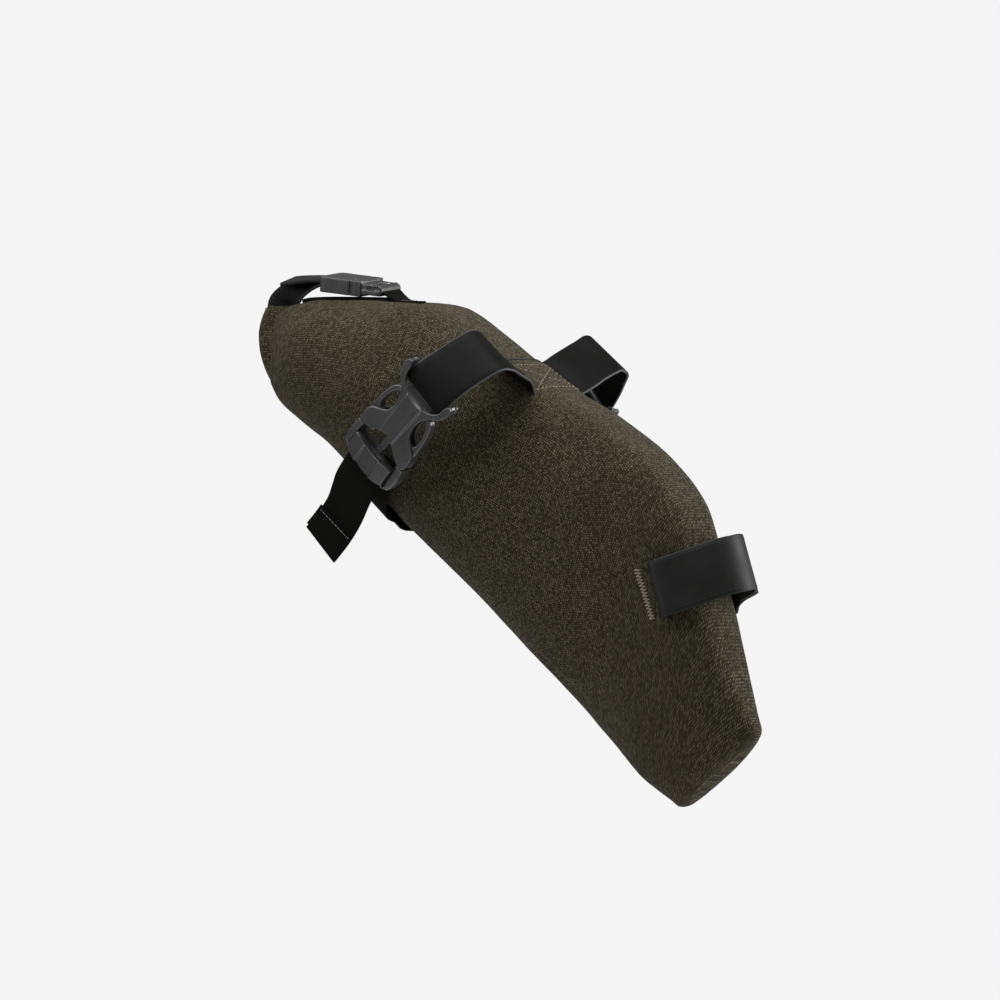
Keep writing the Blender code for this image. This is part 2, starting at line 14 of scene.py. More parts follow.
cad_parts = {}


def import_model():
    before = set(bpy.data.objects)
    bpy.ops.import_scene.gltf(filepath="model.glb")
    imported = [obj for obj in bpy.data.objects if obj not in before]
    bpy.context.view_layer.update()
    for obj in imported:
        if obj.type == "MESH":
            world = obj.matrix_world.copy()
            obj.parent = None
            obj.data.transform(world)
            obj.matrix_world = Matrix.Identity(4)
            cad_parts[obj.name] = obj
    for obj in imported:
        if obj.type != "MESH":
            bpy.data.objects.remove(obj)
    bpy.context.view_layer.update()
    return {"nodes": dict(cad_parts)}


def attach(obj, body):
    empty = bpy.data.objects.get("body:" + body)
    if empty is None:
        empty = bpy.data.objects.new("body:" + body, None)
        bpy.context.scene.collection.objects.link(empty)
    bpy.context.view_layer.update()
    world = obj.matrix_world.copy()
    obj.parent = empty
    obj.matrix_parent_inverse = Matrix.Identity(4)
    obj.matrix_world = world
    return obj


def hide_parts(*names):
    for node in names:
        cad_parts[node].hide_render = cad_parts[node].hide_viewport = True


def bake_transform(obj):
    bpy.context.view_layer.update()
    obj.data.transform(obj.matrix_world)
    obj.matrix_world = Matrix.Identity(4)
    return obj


MM = 0.001

# Bag: top x, top z, bottom x, bottom z, half width, roundness, from the rolled mouth to the nose
SECTIONS = (
    (-329, 164, -335, 122, 17, 3.0),
    (-326, 169.5, -332, 115, 29, 3.2),
    (-319, 173, -326, 107, 37.5, 2.9),
    (-303, 175, -311, 97, 47, 2.5),
    (-274, 175, -287, 82, 56, 2.3),
    (-240, 174, -262, 61, 62, 2.3),
    (-209, 171, -238, 41, 65, 2.3),
    (-180, 154, -213, 20, 66, 2.3),
    (-149, 134, -183, -5, 63, 2.3),
    (-116, 116, -154, -31, 59, 2.3),
    (-81, 98, -125, -58, 53, 2.4),
    (-45, 76, -98, -83, 47, 2.4),
    (-14.8, 45, -74, -106, 41, 2.5),
    (-2.96, 9, -58, -122, 37, 2.6),
    (10.52, -32, -46, -134, 33, 2.7),
    (24.2, -70, -35.5, -144, 26.5, 2.4),
    (34.0, -95, -28, -150, 20.5, 2.1),
    (38.5, -105, -22.5, -154.8, 14.5, 1.85),
    (34, -114, -15, -152.5, 7.5, 1.85),
)
FLAT_SHARE = 1.05
RING_POINTS = 84
RINGS_PER_SECTION = 6
SHRINK = 0.8                    # the bag starts this much smaller, and the pressure fills it out
MOVE_CAP = 2.4
PRESSURE = 4.0
LAST_FRAME = 20
CLOTH_QUALITY = 6
CLOTH_MASS = 0.25
CLOTH_STRETCH = 22
CLOTH_SHEAR = 9
CLOTH_BEND = 1.2
FREE_MOUTH = -296               # behind this x the cloth isn't drawn back to the CAD bag
FAR_INSIDE = 8
AFTER_PRESSURE = (0.25, 0.9)    # how far the cloth may stand outside and inside the CAD bag
AFTER_FOLDS = (0.6, 1.1)
COVER = 0.9

WAVES = ((26, 0.35), (11, 0.22))    # length and height of the cloth's unevenness
# Soft hollows and ridges of the bag: start, end, radius, height
FOLDS = (
    ((-325, -29, 162), (-319, -4, 171.5), 6, 2.0),
    ((-313, -33, 167), (-311, -8, 173), 7, -1.3),
    ((-312, -38, 160), (-318, -36, 128), 9, -1.1),
    ((-324, -31, 156), (-328, -29, 122), 5, 0.9),
    ((-324, 29, 156), (-328, 29, 122), 5, 0.9),
    ((-318, 26, 160), (-318, 26, 160), 22, -1.3),
    ((-244, 0, 175), (-230, 0, 174), 16, -1.6),
    ((-20, -38, -8), (-20, -38, -8), 26, -0.8),
    ((-48, -44, 38), (-48, -44, 38), 36, -0.8),
    ((-132, -50, 112), (-132, -50, 112), 34, -0.6),
)

# Rubberised straps
STRAP_WIDTH = 38
STRAP_THICKNESS = 1.7
NEAR_WING_STATIONS = (
    ((-134.2, -25, 128.6), (0.83, 0, -0.56)),
    ((-133.2, -34, 131.4), (0.81, 0, -0.58)),
    ((-131.6, -46, 136.4), (0.79, 0, -0.61)),
    ((-129, -58, 140.8), (0.74, 0, -0.67)),
    ((-129.5, -67, 141.6), (0.74, -0.04, -0.68)),
    ((-134, -74.5, 138), (0.74, -0.06, -0.68)),
    ((-143.5, -84, 129.5), (0.73, -0.06, -0.69)),
    ((-151, -90.5, 122.5), (0.70, 0.0, -0.71)),
    ((-156.5, -94.0, 117.2), (0.68, 0.06, -0.73)),
    ((-162.6, -92.9, 112.2), (0.68, 0.06, -0.73)),
)
FAR_WING_STATIONS = (
    ((-134.2, 25, 127.2), (0.83, 0, -0.56)),
    ((-133.4, 34, 127.8), (0.81, 0, -0.58)),
    ((-132.4, 46, 133.0), (0.83, 0, -0.55)),
    ((-131.2, 58, 137.6), (0.82, 0, -0.56)),
    ((-130.4, 66, 140.2), (0.79, 0.03, -0.61)),
    ((-131.6, 74, 138.6), (0.76, 0.06, -0.65)),
    ((-138, 80.5, 133.5), (0.73, 0.06, -0.69)),
    ((-147, 87.5, 126), (0.73, 0.06, -0.69)),
    ((-156.5, 94.0, 117.2), (0.68, -0.06, -0.73)),
    ((-163.6, 92.7, 111.2), (0.68, -0.06, -0.73)),
)
CROWN_CENTRE = (-132, 0, 129)
CROWN_OUTWARD = (0.56, 0, 0.83)
CROWN_ALONG = (0.83, 0, -0.56)
CROWN_HALF_LENGTH = 25
CROWN_STEPS = 8
CROWN_SINK = 0.4                # the strap is sewn down into the cloth here
PATCH_LENGTH = 44
PATCH_HALF_WIDTH = 25
PATCH_ROWS = 18
PATCH_COLUMNS = 26
PATCH_THICKNESS = 0.8
PATCH_LIFT = 0.55
BOX_CENTRE = (-128.6, 0, 128.5)
BOX_HALF_LENGTH = 13.4
BOX_HALF_WIDTH = 24

# Side buckles, in the frame of each buckle: x from the strap to the webbing, y across, z outwards
BUCKLE_TOP = (-155, -93.5, 118.7)
BUCKLE_BOTTOM = (-216, -81, 67.4)
BUCKLE_SPAN = (0.655, 0.10, -0.75)
HALF_SPAN = 23.5
HALF_THICKNESS = 5.5
PLASTIC_VOXEL = 0.45
KEPT_SHARE = 0.45               # of the faces of the remeshed plastics
PRONG_HALF_THICKNESS = 3.1

# Webbing
WEBBING_THICKNESS = 1.6
TAIL_WIDTH = 32
TAIL_STATIONS = (
    ((-210.9, -81.5, 71.7), (0.64, 0.05, -0.77)),
    ((-219.3, -81.6, 62.6), (0.66, 0.03, -0.75)),
    ((-224.2, -84.6, 51), (0.69, 0, -0.72)),
    ((-230.5, -84.5, 38.5), (0.72, 0, -0.69)),
    ((-240.5, -82, 27.5), (0.77, 0, -0.64)),
    ((-253, -80, 16), (0.82, 0, -0.57)),
)
TAIL_HEM = 20
HEM_LIFT = 0.92                 # both lifts in webbing thicknesses
STITCH_LIFT = 1.45
HEM_WIDER = 1.6
UNDER_WIDTH = 32
UNDER_CENTRE = (-236, 0, 38)
UNDER_LENGTH_DIRECTION = (0.74, 0, -0.67)
UNDER_HUB_HEIGHT = 52
UNDER_REACH = math.radians(40)
UNDER_LIFT = 4.0
UNDER_STEPS = 9
UNDER_END_STATIONS = (
    ((-206.5, -79, 77), (0.66, -0.04, -0.75)),
    ((-212.5, -74.5, 66.5), (0.72, 0, -0.69)),
    ((-220, -68.8, 55.5), (0.73, 0, -0.68)),
    ((-228, -57, 44.5), (0.74, 0, -0.67)),
)

# Rolled mouth
ROLL_CENTRE = (-341.4, 0, 144.8)
ROLL_HEIGHT = 54.4
ROLL_TURNS = 3
ROLL_STEPS = 28                 # to a turn
ROLL_ROWS = 14
CLOTH_THICKNESS = 1.0
ROLL_FIRST_RADIUS = 2.0
ROLL_LAST_RADIUS = 8.2
ROLL_STRAIGHT = 17
ROLL_TOP_LEAN = 4.8
ROLL_BOTTOM_LEAN = 12.2

# Closure strap
CLOSURE_WIDTH = 20
CLOSURE_START = (-301.5, 0, 187.2)
CLOSURE_END = (-254.5, 0, 182.0)
CLOSURE_ROLL_ANGLE = math.radians(6)
CLOSURE_HALF_THICKNESS = 5.2
FOLD_THICKNESS = 2.8

# Seat-post strap, laid out in the plane square to the seat post
POST_LEAN = math.radians(18.2)
POST_STRAP_DROP = -5.5
POST_STRAP_RISE = 3.0
RISE_LENGTH = 43
FAR_LIFT = 2.6
LOOP_CENTRE = 5
LOOP_RADIUS = 20.8
ROOT_BACK = -17.5
ROOT_HALF_SPAN = 38
TANGENT_ANGLE = -60
FLAP_RADIUS = 25.2
FLAP_FIRST_ANGLE = 70
ROOT_OVERLAP = 5                # of each strap's end into the bag
ROOT_DEPTH = 2.4
TACK_STROKES = 30
TACK_LENGTH = 33
TACK_HALF_WIDTH = 1.9
TACK_SLOPE = 0.5
TACK_BACK = 12.6
SLIT_BACK = 1.6
SLIT_STEPS = 8
SLIT_WIDTH = 1.6
SLIT_THICKNESS = 1.0

# Camera and light
AZIMUTH = math.radians(35)
TARGET = (-166.7, 0, 44.9)
FRAME_WIDTH = 650
LENS = 1000
SENSOR = 36
FLOOR_HEIGHT = -345
FLOOR_RADIUS = 900
BACKGROUND = (0.913, 0.913, 0.913, 1)
SURROUND_STRENGTH = 0.16
# Name, places to the right, towards the camera and up in metres, size and power
LIGHTS = (
    ("top_box", (-0.10, 0.30, 1.15), (1.2, 0.8), 15),
    ("right_box", (1.25, -0.10, 0.25), (0.4, 1.1), 15),
    ("left_box", (-1.20, 0.30, 0.55), (0.5, 1.0), 4.5),
)

FABRIC_PITCH = 1.15
WEAVE_TURN = math.radians(45)
FABRIC_DARK = (0.011, 0.009, 0.0045)
FABRIC_MIDDLE = (0.066, 0.056, 0.032)
FABRIC_LIGHT = (0.27, 0.235, 0.152)


# ---------------------------------------------------------------- materials

class Nodes:
    """A material's node tree, with short calls to add and join nodes."""

    def __init__(self, name, colour, roughness, sheen=0.0, sheen_roughness=0.4, specular=0.5):
        self.material = bpy.data.materials.new(name)
        self.material.use_nodes = True
        self.tree = self.material.node_tree
        self.shader = self.tree.nodes["Principled BSDF"]
        self.shader.inputs["Base Color"].default_value = (*colour, 1)
        self.shader.inputs["Roughness"].default_value = roughness
        self.shader.inputs["Specular IOR Level"].default_value = specular
        self.shader.inputs["Sheen Weight"].default_value = sheen
        self.shader.inputs["Sheen Roughness"].default_value = sheen_roughness

    def add(self, kind, inputs=None, **settings):
        made = self.tree.nodes.new(kind)
        for key, value in settings.items():
            setattr(made, key, value)
        for key, value in (inputs or {}).items():
            if isinstance(value, bpy.types.NodeSocket):
                self.tree.links.new(value, made.inputs[key])
            else:
                made.inputs[key].default_value = value
        return made

    def math(self, operation, first, second=0.0):
        return self.add("ShaderNodeMath", {0: first, 1: second}, operation=operation).outputs[0]

    def mix(self, share, first, second):
        made = self.add("ShaderNodeMix", {0: share}, data_type="RGBA")
        for socket, value in ((made.inputs[6], first), (made.inputs[7], second)):
            if isinstance(value, bpy.types.NodeSocket):
                self.tree.links.new(value, socket)
            else:
                socket.default_value = (*value, 1)
        return made.outputs[2]

    def range(self, value, low, high, to_low=0.0, to_high=1.0):
        made = self.add("ShaderNodeMapRange", {"Value": value, "From Min": low, "From Max": high,
                                               "To Min": to_low, "To Max": to_high})
        return made.outputs[0]

    def surface_place(self, scale, turn=0.0):
        """Place on a piece's own surface in millimetres, turned, then stretched by scale."""
        place = self.add("ShaderNodeTexCoord")
        turned = self.add("ShaderNodeMapping", {"Vector": place.outputs["UV"], "Rotation": (0, 0, turn)})
        moved = self.add("ShaderNodeMapping", {"Vector": turned.outputs[0], "Location": (0, 0, 0.5),
                                               "Scale": scale})
        return moved.outputs[0]

    def space_place(self):
        return self.add("ShaderNodeTexCoord").outputs["Object"]

    def noise(self, place, scale, detail=2.0, roughness=0.5):
        made = self.add("ShaderNodeTexNoise", {"Vector": place, "Scale": scale, "Detail": detail,
                                               "Roughness": roughness})
        return made.outputs["Fac"]

    def colour(self, socket):
        self.tree.links.new(socket, self.shader.inputs["Base Color"])

    def roughness(self, socket):
        self.tree.links.new(socket, self.shader.inputs["Roughness"])

    def bump(self, height, distance, strength=1.0):
        made = self.add("ShaderNodeBump", {"Height": height, "Distance": distance * MM, "Strength": strength})
        self.tree.links.new(made.outputs["Normal"], self.shader.inputs["Normal"])


def weave(nodes, pitch):
    """Plain weave: the hump of each crossing, which yarn is on top, and a random tone for each crossing."""
    place = nodes.surface_place((1, 1, 1), WEAVE_TURN)
    checker = nodes.add("ShaderNodeTexChecker", {"Vector": place, "Scale": 1 / pitch,
                                                 "Color1": (0, 0, 0, 1), "Color2": (1, 1, 1, 1)})
    parts = nodes.add("ShaderNodeSeparateXYZ", {0: place})
    humps = []
    for axis in ("X", "Y"):
        turn = nodes.math("MULTIPLY", parts.outputs[axis], math.pi / pitch)
        humps.append(nodes.math("ABSOLUTE", nodes.math("SINE", turn)))
    cell = nodes.add("ShaderNodeVectorMath", {0: place, 1: (pitch, pitch, pitch)}, operation="SNAP")
    random_tone = nodes.add("ShaderNodeTexWhiteNoise", {"Vector": cell.outputs[0]}, noise_dimensions="2D")
    return nodes.math("MULTIPLY", *humps), checker.outputs["Fac"], random_tone.outputs["Value"]


def fabric_material():
    """Olive melange: dark and tan fibres in the yarns of a plain weave, painted shade in the gaps between the
    yarns, and a faint sheen.
    """
    nodes = Nodes("olive_melange", FABRIC_MIDDLE, 0.9, sheen=0.05, specular=0.12)
    hump, on_top, random_tone = weave(nodes, FABRIC_PITCH)
    lengthwise = nodes.noise(nodes.surface_place((0.3, 1.0, 1), WEAVE_TURN), 2.0, 3.0, 0.7)
    crosswise = nodes.noise(nodes.surface_place((1.0, 0.3, 1), WEAVE_TURN), 2.0, 3.0, 0.7)
    yarn = nodes.add("ShaderNodeMix", {0: on_top, 2: lengthwise, 3: crosswise}).outputs[0]
    streak = nodes.math("MULTIPLY", nodes.range(yarn, 0.34, 0.68), 0.40)
    chance = nodes.math("MULTIPLY", random_tone, 0.40)
    side = nodes.math("MULTIPLY", on_top, 0.20)
    tone = nodes.math("ADD", streak, nodes.math("ADD", chance, side))
    low = nodes.mix(nodes.range(tone, 0.1, 0.55), FABRIC_DARK, FABRIC_MIDDLE)
    colour = nodes.mix(nodes.range(tone, 0.5, 0.95), low, FABRIC_LIGHT)
    # Painted shade: the low gaps between crossings are darkened towards the dark fibre colour.
    gap_shaded = nodes.mix(nodes.range(hump, 0.0, 0.6, 0.85, 0.0), colour, FABRIC_DARK)
    cloud = nodes.noise(nodes.space_place(), 26.0, 3.0)
    nodes.colour(nodes.mix(nodes.range(cloud, 0.3, 0.7, 0.0, 0.22), gap_shaded, FABRIC_DARK))
    fuzz = nodes.noise(nodes.space_place(), 2600.0, 1.0)
    bumps = nodes.math("ADD", hump, nodes.math("MULTIPLY", fuzz, 0.5))
    nodes.bump(bumps, 0.25, 0.6)
    return nodes.material


def strap_material(name, colour, specular=0.22):
    """Matte rubberised laminate with a very fine grain and faint handling marks."""
    nodes = Nodes(name, colour, 0.55, specular=specular)
    marks = nodes.noise(nodes.space_place(), 55.0, 4.0, 0.6)
    lighter = [channel * 1.35 for channel in colour]
    nodes.colour(nodes.mix(nodes.range(marks, 0.35, 0.75), colour, lighter))
    nodes.roughness(nodes.range(marks, 0.3, 0.7, 0.46, 0.58))
    grain = nodes.noise(nodes.space_place(), 3200.0, 2.0)
    nodes.bump(grain, 0.05, 0.5)
    return nodes.material


def webbing_material(name, dark, light):
    """Webbing: fine ribs across it, and a zigzag of lengthwise yarns."""
    nodes = Nodes(name, light, 0.8, specular=0.08)
    place = nodes.surface_place((1, 1, 1))
    parts = nodes.add("ShaderNodeSeparateXYZ", {0: place})
    along = nodes.math("MULTIPLY", parts.outputs["X"], 2 * math.pi / 1.7)
    zigzag = nodes.math("PINGPONG", parts.outputs["Y"], 1.3)
    turn = nodes.math("ADD", along, nodes.math("MULTIPLY", zigzag, 2.4))
    ribs = nodes.range(nodes.math("SINE", turn), -1.0, 1.0)
    fibre = nodes.noise(nodes.surface_place((1, 6, 1)), 1.4, 2.0)
    tone = nodes.math("MULTIPLY", ribs, nodes.range(fibre, 0.3, 0.7, 0.5, 1.0))
    nodes.colour(nodes.mix(tone, dark, light))
    nodes.bump(ribs, 0.25, 0.7)
    return nodes.material


def plastic_material():
    """Satin moulded acetal: almost smooth, slightly uneven gloss, and painted highlights along its sharp
    edges.
    """
    nodes = Nodes("black_plastic", (0.050, 0.050, 0.052), 0.30, specular=0.7)
    # Painted highlight: sharp edges, found by pointiness, are lightened towards pale grey.
    edge_highlight_mask = nodes.add("ShaderNodeNewGeometry").outputs["Pointiness"]
    edge = nodes.range(edge_highlight_mask, 0.52, 0.60, 0.0, 0.7)
    nodes.colour(nodes.mix(edge, (0.048, 0.0485, 0.050), (0.34, 0.34, 0.345)))
    patches = nodes.noise(nodes.space_place(), 90.0, 3.0)
    nodes.roughness(nodes.range(patches, 0.3, 0.7, 0.26, 0.36))
    grain = nodes.noise(nodes.space_place(), 1500.0, 2.0)
    nodes.bump(grain, 0.015, 0.35)
    return nodes.material


def thread_material(name, colour):
    """Twisted sewing thread."""
    nodes = Nodes(name, colour, 0.70, sheen=0.1, specular=0.3)
    uneven = nodes.noise(nodes.space_place(), 900.0, 2.0)
    darker = [channel * 0.55 for channel in colour]
    nodes.colour(nodes.mix(nodes.range(uneven, 0.35, 0.65), darker, colour))
    nodes.bump(uneven, 0.08, 0.6)
    return nodes.material


def pile_material():
    """Hook and loop pile: a dense dark fuzz."""
    nodes = Nodes("hook_and_loop_pile", (0.012, 0.012, 0.012), 0.95, sheen=0.3)
    cells = nodes.add("ShaderNodeTexVoronoi", {"Vector": nodes.space_place(), "Scale": 900.0})
    distance = cells.outputs["Distance"]
    nodes.colour(nodes.mix(nodes.range(distance, 0.0, 0.6), (0.024, 0.024, 0.024), (0.006, 0.006, 0.006)))
    nodes.bump(distance, 0.5, 1.0)
    return nodes.material


def sheet_material():
    """Milky plastic sheet of the inner stiffeners, with faint extrusion lines."""
    nodes = Nodes("stiffener_sheet", (0.55, 0.56, 0.56), 0.45)
    lines = nodes.add("ShaderNodeTexWave", {"Vector": nodes.space_place(), "Scale": 120.0, "Distortion": 2.0})
    nodes.colour(nodes.mix(lines.outputs["Fac"], (0.52, 0.53, 0.53), (0.58, 0.59, 0.59)))
    nodes.bump(lines.outputs["Fac"], 0.03, 0.4)
    return nodes.material


def floor_material():
    """Pale matte studio floor."""
    nodes = Nodes("studio_floor", (0.86, 0.86, 0.86), 0.9, specular=0.1)
    tone = nodes.noise(nodes.space_place(), 3.0, 2.0)
    nodes.colour(nodes.mix(nodes.range(tone, 0.3, 0.7), (0.85, 0.85, 0.85), (0.87, 0.87, 0.87)))
    return nodes.material


# ---------------------------------------------------------------- mesh helpers

def mesh_from(name, shape):
    """Turn a bmesh into a mesh, and free it."""
    mesh = bpy.data.meshes.new(name)
    shape.to_mesh(mesh)
    shape.free()
    return mesh


def lay_uv(uv, face, places):
    """Give the corners of a face their places on the surface."""
    for corner, place in zip(face.loops, places):
        corner[uv].uv = place


def subdivide(piece, name):
    """Add one level of subdivision to a piece."""
    step = piece.modifiers.new(name, "SUBSURF")
    step.levels = 1
    step.render_levels = 1


def add_piece(name, mesh, look, smooth_angle=None):
    """Put a finished mesh in metres into the scene."""
    mesh.materials.clear()
    mesh.materials.append(look)
    made = bpy.data.objects.new(name, mesh)
    bpy.context.scene.collection.objects.link(made)
    mesh.shade_smooth()
    if smooth_angle is not None:
        mesh.set_sharp_from_angle(angle=math.radians(smooth_angle))
    return made


def loft(name, rings, look, smooth_angle=50):
    """A closed tube with flat ends through rings of points. Its UV map is its surface in millimetres."""
    count = len(rings[0])
    shape = bmesh.new()
    uv = shape.loops.layers.uv.new("surface")
    grid = [[shape.verts.new(point * MM) for point in ring] for ring in rings]
    along = [0.0]
    for first, second in zip(rings, rings[1:]):
        step = sum((a - b).length for a, b in zip(first, second)) / count
        along.append(along[-1] + step)
    around = []
    for ring in rings:
        steps = [0.0]
        for k in range(count):
            steps.append(steps[-1] + (ring[k] - ring[(k + 1) % count]).length)
        around.append(steps)
    for r in range(len(rings) - 1):
        for k in range(count):
            nxt = (k + 1) % count
            face = shape.faces.new((grid[r][k], grid[r][nxt], grid[r + 1][nxt], grid[r + 1][k]))
            places = ((r, k), (r, k + 1), (r + 1, k + 1), (r + 1, k))
            lay_uv(uv, face, [(along[row], around[row][column]) for row, column in places])
    for ring in (grid[0], grid[-1]):
        face = shape.faces.new(ring)
        lay_uv(uv, face, [(vertex.co.x / MM, vertex.co.z / MM) for vertex in ring])
    bmesh.ops.recalc_face_normals(shape, faces=shape.faces)
    return add_piece(name, mesh_from(name, shape), look, smooth_angle)


def clamp(value):
    """A value held between 0 and 1."""
    return min(1, max(0, value))


def smooth(points, steps):
    """Points on a Catmull-Rom curve through vectors of any length."""
    size = len(points[0])
    made = []
    for i in range(len(points) - 1):
        before = points[max(i - 1, 0)]
        start = points[i]
        end = points[i + 1]
        after = points[min(i + 2, len(points) - 1)]
        for k in range(steps):
            t = k / steps
            made.append([
                0.5 * (2 * start[j] + (end[j] - before[j]) * t
                       + (2 * before[j] - 5 * start[j] + 4 * end[j] - after[j]) * t * t
                       + (3 * start[j] - before[j] - 3 * end[j] + after[j]) * t ** 3)
                for j in range(size)
            ])
    made.append(list(points[-1]))
    return made


def rounded_slab(width, thickness, across=8, corner=4):
    """Outline of a strap's cross section: across first, thickness second."""
    radius = thickness / 2
    flat = width / 2 - radius
    points = [(flat - 2 * flat * k / across, radius) for k in range(across)]
    points += [(-flat - radius * math.sin(math.pi * k / corner), radius * math.cos(math.pi * k / corner))
               for k in range(corner)]
    points += [(-flat + 2 * flat * k / across, -radius) for k in range(across)]
    points += [(flat + radius * math.sin(math.pi * k / corner), -radius * math.cos(math.pi * k / corner))
               for k in range(corner)]
    return points


def strap(name, stations, width, thickness, look, steps=6, edge_look=None):
    """A strap that follows (centre, width direction) stations. Its cut edges may have a look of their own."""
    rows = smooth([(*centre, *direction) for centre, direction in stations], steps)
    centres = [Vector(row[:3]) for row in rows]
    section = rounded_slab(width, thickness)
    rings = []
    for i, row in enumerate(rows):
        ahead = centres[min(i + 1, len(centres) - 1)]
        behind = centres[max(i - 1, 0)]
        tangent = (ahead - behind).normalized()
        direction = Vector(row[3:])
        direction = (direction - tangent * direction.dot(tangent)).normalized()
        normal = direction.cross(tangent)
        rings.append([
            centres[i] + direction * across + normal * depth
            for across, depth in section
        ])
    made = loft(name, rings, look)
    if edge_look is not None:
        made.data.materials.append(edge_look)
        count = len(section)
        flat = width / 2 - thickness / 2
        for number, polygon in enumerate(made.data.polygons[:count * (len(rings) - 1)]):
            k = number % count
            middle = (section[k][0] + section[(k + 1) % count][0]) / 2
            if abs(middle) > flat:
                polygon.material_index = 1
    return made


def flipped(stations, side):
    """Stations of the near side (side 1), or their mirror image on the far side (side -1)."""
    return [((x, side * y, z), (dx, side * dy, dz)) for (x, y, z), (dx, dy, dz) in stations]


def thread_dash(shape, start, end, lift_direction, radius, sides=6, steps=5):
    """One stitch: a short thread whose ends dip into the cloth."""
    along = (end - start).normalized()
    side = along.cross(lift_direction).normalized()
    rings = []
    for k in range(steps + 1):
        t = k / steps
        centre = start.lerp(end, t) + lift_direction * radius * (1.5 * math.sin(math.pi * t) - 0.6)
        thick = radius * (0.55 + 0.45 * math.sin(math.pi * t))
        rings.append([
            shape.verts.new((centre + (side * math.cos(a) + lift_direction * math.sin(a)) * thick) * MM)
            for a in (2 * math.pi * s / sides for s in range(sides))
        ])
    for first, second in zip(rings, rings[1:]):
        for s in range(sides):
            nxt = (s + 1) % sides
            shape.faces.new((first[s], first[nxt], second[nxt], second[s]))
    shape.faces.new(rings[0])
    shape.faces.new(rings[-1])


def stitches(name, runs, look, dash=2.9, gap=0.9, radius=0.30):
    """Stitches along runs of (point, outward) pairs on a surface."""
    shape = bmesh.new()
    for run in runs:
        marks = [0.0]
        for (a, _), (b, _) in zip(run, run[1:]):
            marks.append(marks[-1] + (b - a).length)

        def at(distance):
            for i in range(len(run) - 1):
                if distance <= marks[i + 1] or i == len(run) - 2:
                    t = (distance - marks[i]) / max(marks[i + 1] - marks[i], 1e-9)
                    return run[i][0].lerp(run[i + 1][0], t), run[i][1].lerp(run[i + 1][1], t).normalized()

        count = max(1, round(marks[-1] / (dash + gap)))
        pitch = marks[-1] / count
        for k in range(count):
            start, _ = at(k * pitch + gap / 2)
            end, _ = at((k + 1) * pitch - gap / 2)
            _, outward = at((k + 0.5) * pitch)
            thread_dash(shape, start, end, outward, radius)
    bmesh.ops.recalc_face_normals(shape, faces=shape.faces)
    return add_piece(name, mesh_from(name, shape), look)


def finish_piece(piece, body, slot, *nodes):
    if nodes:
        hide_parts(*nodes)
    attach(piece, body)
    return piece


def surface_tree(*objects):
    """One search tree over several meshes, in millimetres."""
    points = []
    faces = []
    for item in objects:
        start = len(points)
        points += [vertex.co / MM for vertex in item.data.vertices]
        faces += [tuple(start + v for v in polygon.vertices) for polygon in item.data.polygons]
    return BVHTree.FromPolygons(points, faces)


def drop_on(tree, point, outward, height):
    """The place on a surface under a point, looking against outward, lifted by height. Also its normal."""
    direction = Vector(outward).normalized()
    hit, normal, _, _ = tree.ray_cast(Vector(point) + direction * 150, -direction)
    if normal.dot(direction) < 0:
        normal = -normal
    return hit + normal * height, normal


# ---------------------------------------------------------------- bag

def section_point(values, angle, inset):
    top = Vector((values[0], 0, values[1]))
    bottom = Vector((values[2], 0, values[3]))
    up = (top - bottom).normalized()
    half_height = (top - bottom).length / 2 - inset
    cosine = math.cos(angle)
    sine = math.sin(angle)
    share = 2 / values[5]
    across = (values[4] - inset) * math.copysign(abs(cosine) ** share, cosine)
    rise = math.copysign(min(1, FLAT_SHARE * abs(sine) ** share), sine)
    return (top + bottom) / 2 + up * rise * half_height + Vector((0, across, 0))


def even_ring(values, inset):
    """Points spread evenly round one section, starting at the bottom."""
    fine = [section_point(values, -math.pi / 2 + 2 * math.pi * k / 720, inset) for k in range(721)]
    marks = [0.0]
    for a, b in zip(fine, fine[1:]):
        marks.append(marks[-1] + (b - a).length)
    ring = []
    place = 0
    for k in range(RING_POINTS):
        wanted = marks[-1] * k / RING_POINTS
        while marks[place + 1] < wanted:
            place += 1
        t = (wanted - marks[place]) / max(marks[place + 1] - marks[place], 1e-9)
        ring.append(fine[place].lerp(fine[place + 1], t))
    return ring


def inflate(piece):
    """Fill the bag out with cloth pressure, and keep each point within the cap of where it started."""
    start = [vertex.co.copy() for vertex in piece.data.vertices]
    step = piece.modifiers.new("stuffing", "CLOTH")
    settings = step.settings
    settings.quality = CLOTH_QUALITY
    settings.mass = CLOTH_MASS
    settings.tension_stiffness = CLOTH_STRETCH
    settings.compression_stiffness = CLOTH_STRETCH
    settings.shear_stiffness = CLOTH_SHEAR
    settings.bending_stiffness = CLOTH_BEND
    settings.use_pressure = True
    settings.uniform_pressure_force = PRESSURE
    settings.effector_weights.gravity = 0
    step.collision_settings.use_self_collision = False
    step.point_cache.frame_start = 1
    step.point_cache.frame_end = LAST_FRAME
    scene = bpy.context.scene
    for frame_number in range(1, LAST_FRAME + 1):
        scene.frame_set(frame_number)
    graph = bpy.context.evaluated_depsgraph_get()
    puffed = [vertex.co.copy() for vertex in piece.evaluated_get(graph).data.vertices]
    piece.modifiers.remove(step)
    scene.frame_set(1)
    cap = MOVE_CAP * MM
    for vertex, before, after in zip(piece.data.vertices, start, puffed):
        move = after - before
        if move.length > cap:
            move *= cap / move.length
        vertex.co = before + move
    piece.data.update()


def keep_close(piece, tree, outside, inside):
    """Draw points back to the CAD bag that stand too far outside or inside it. The mouth is left free."""
    for vertex in piece.data.vertices:
        place = vertex.co / MM
        if place.x < FREE_MOUTH:
            continue
        near, normal, _, distance = tree.find_nearest(place)
        out = (place - near).dot(normal)
        if out > outside:
            vertex.co = (near + normal * outside) * MM
        elif out < -inside and distance < FAR_INSIDE:
            vertex.co = (near - normal * inside) * MM
    piece.data.update()


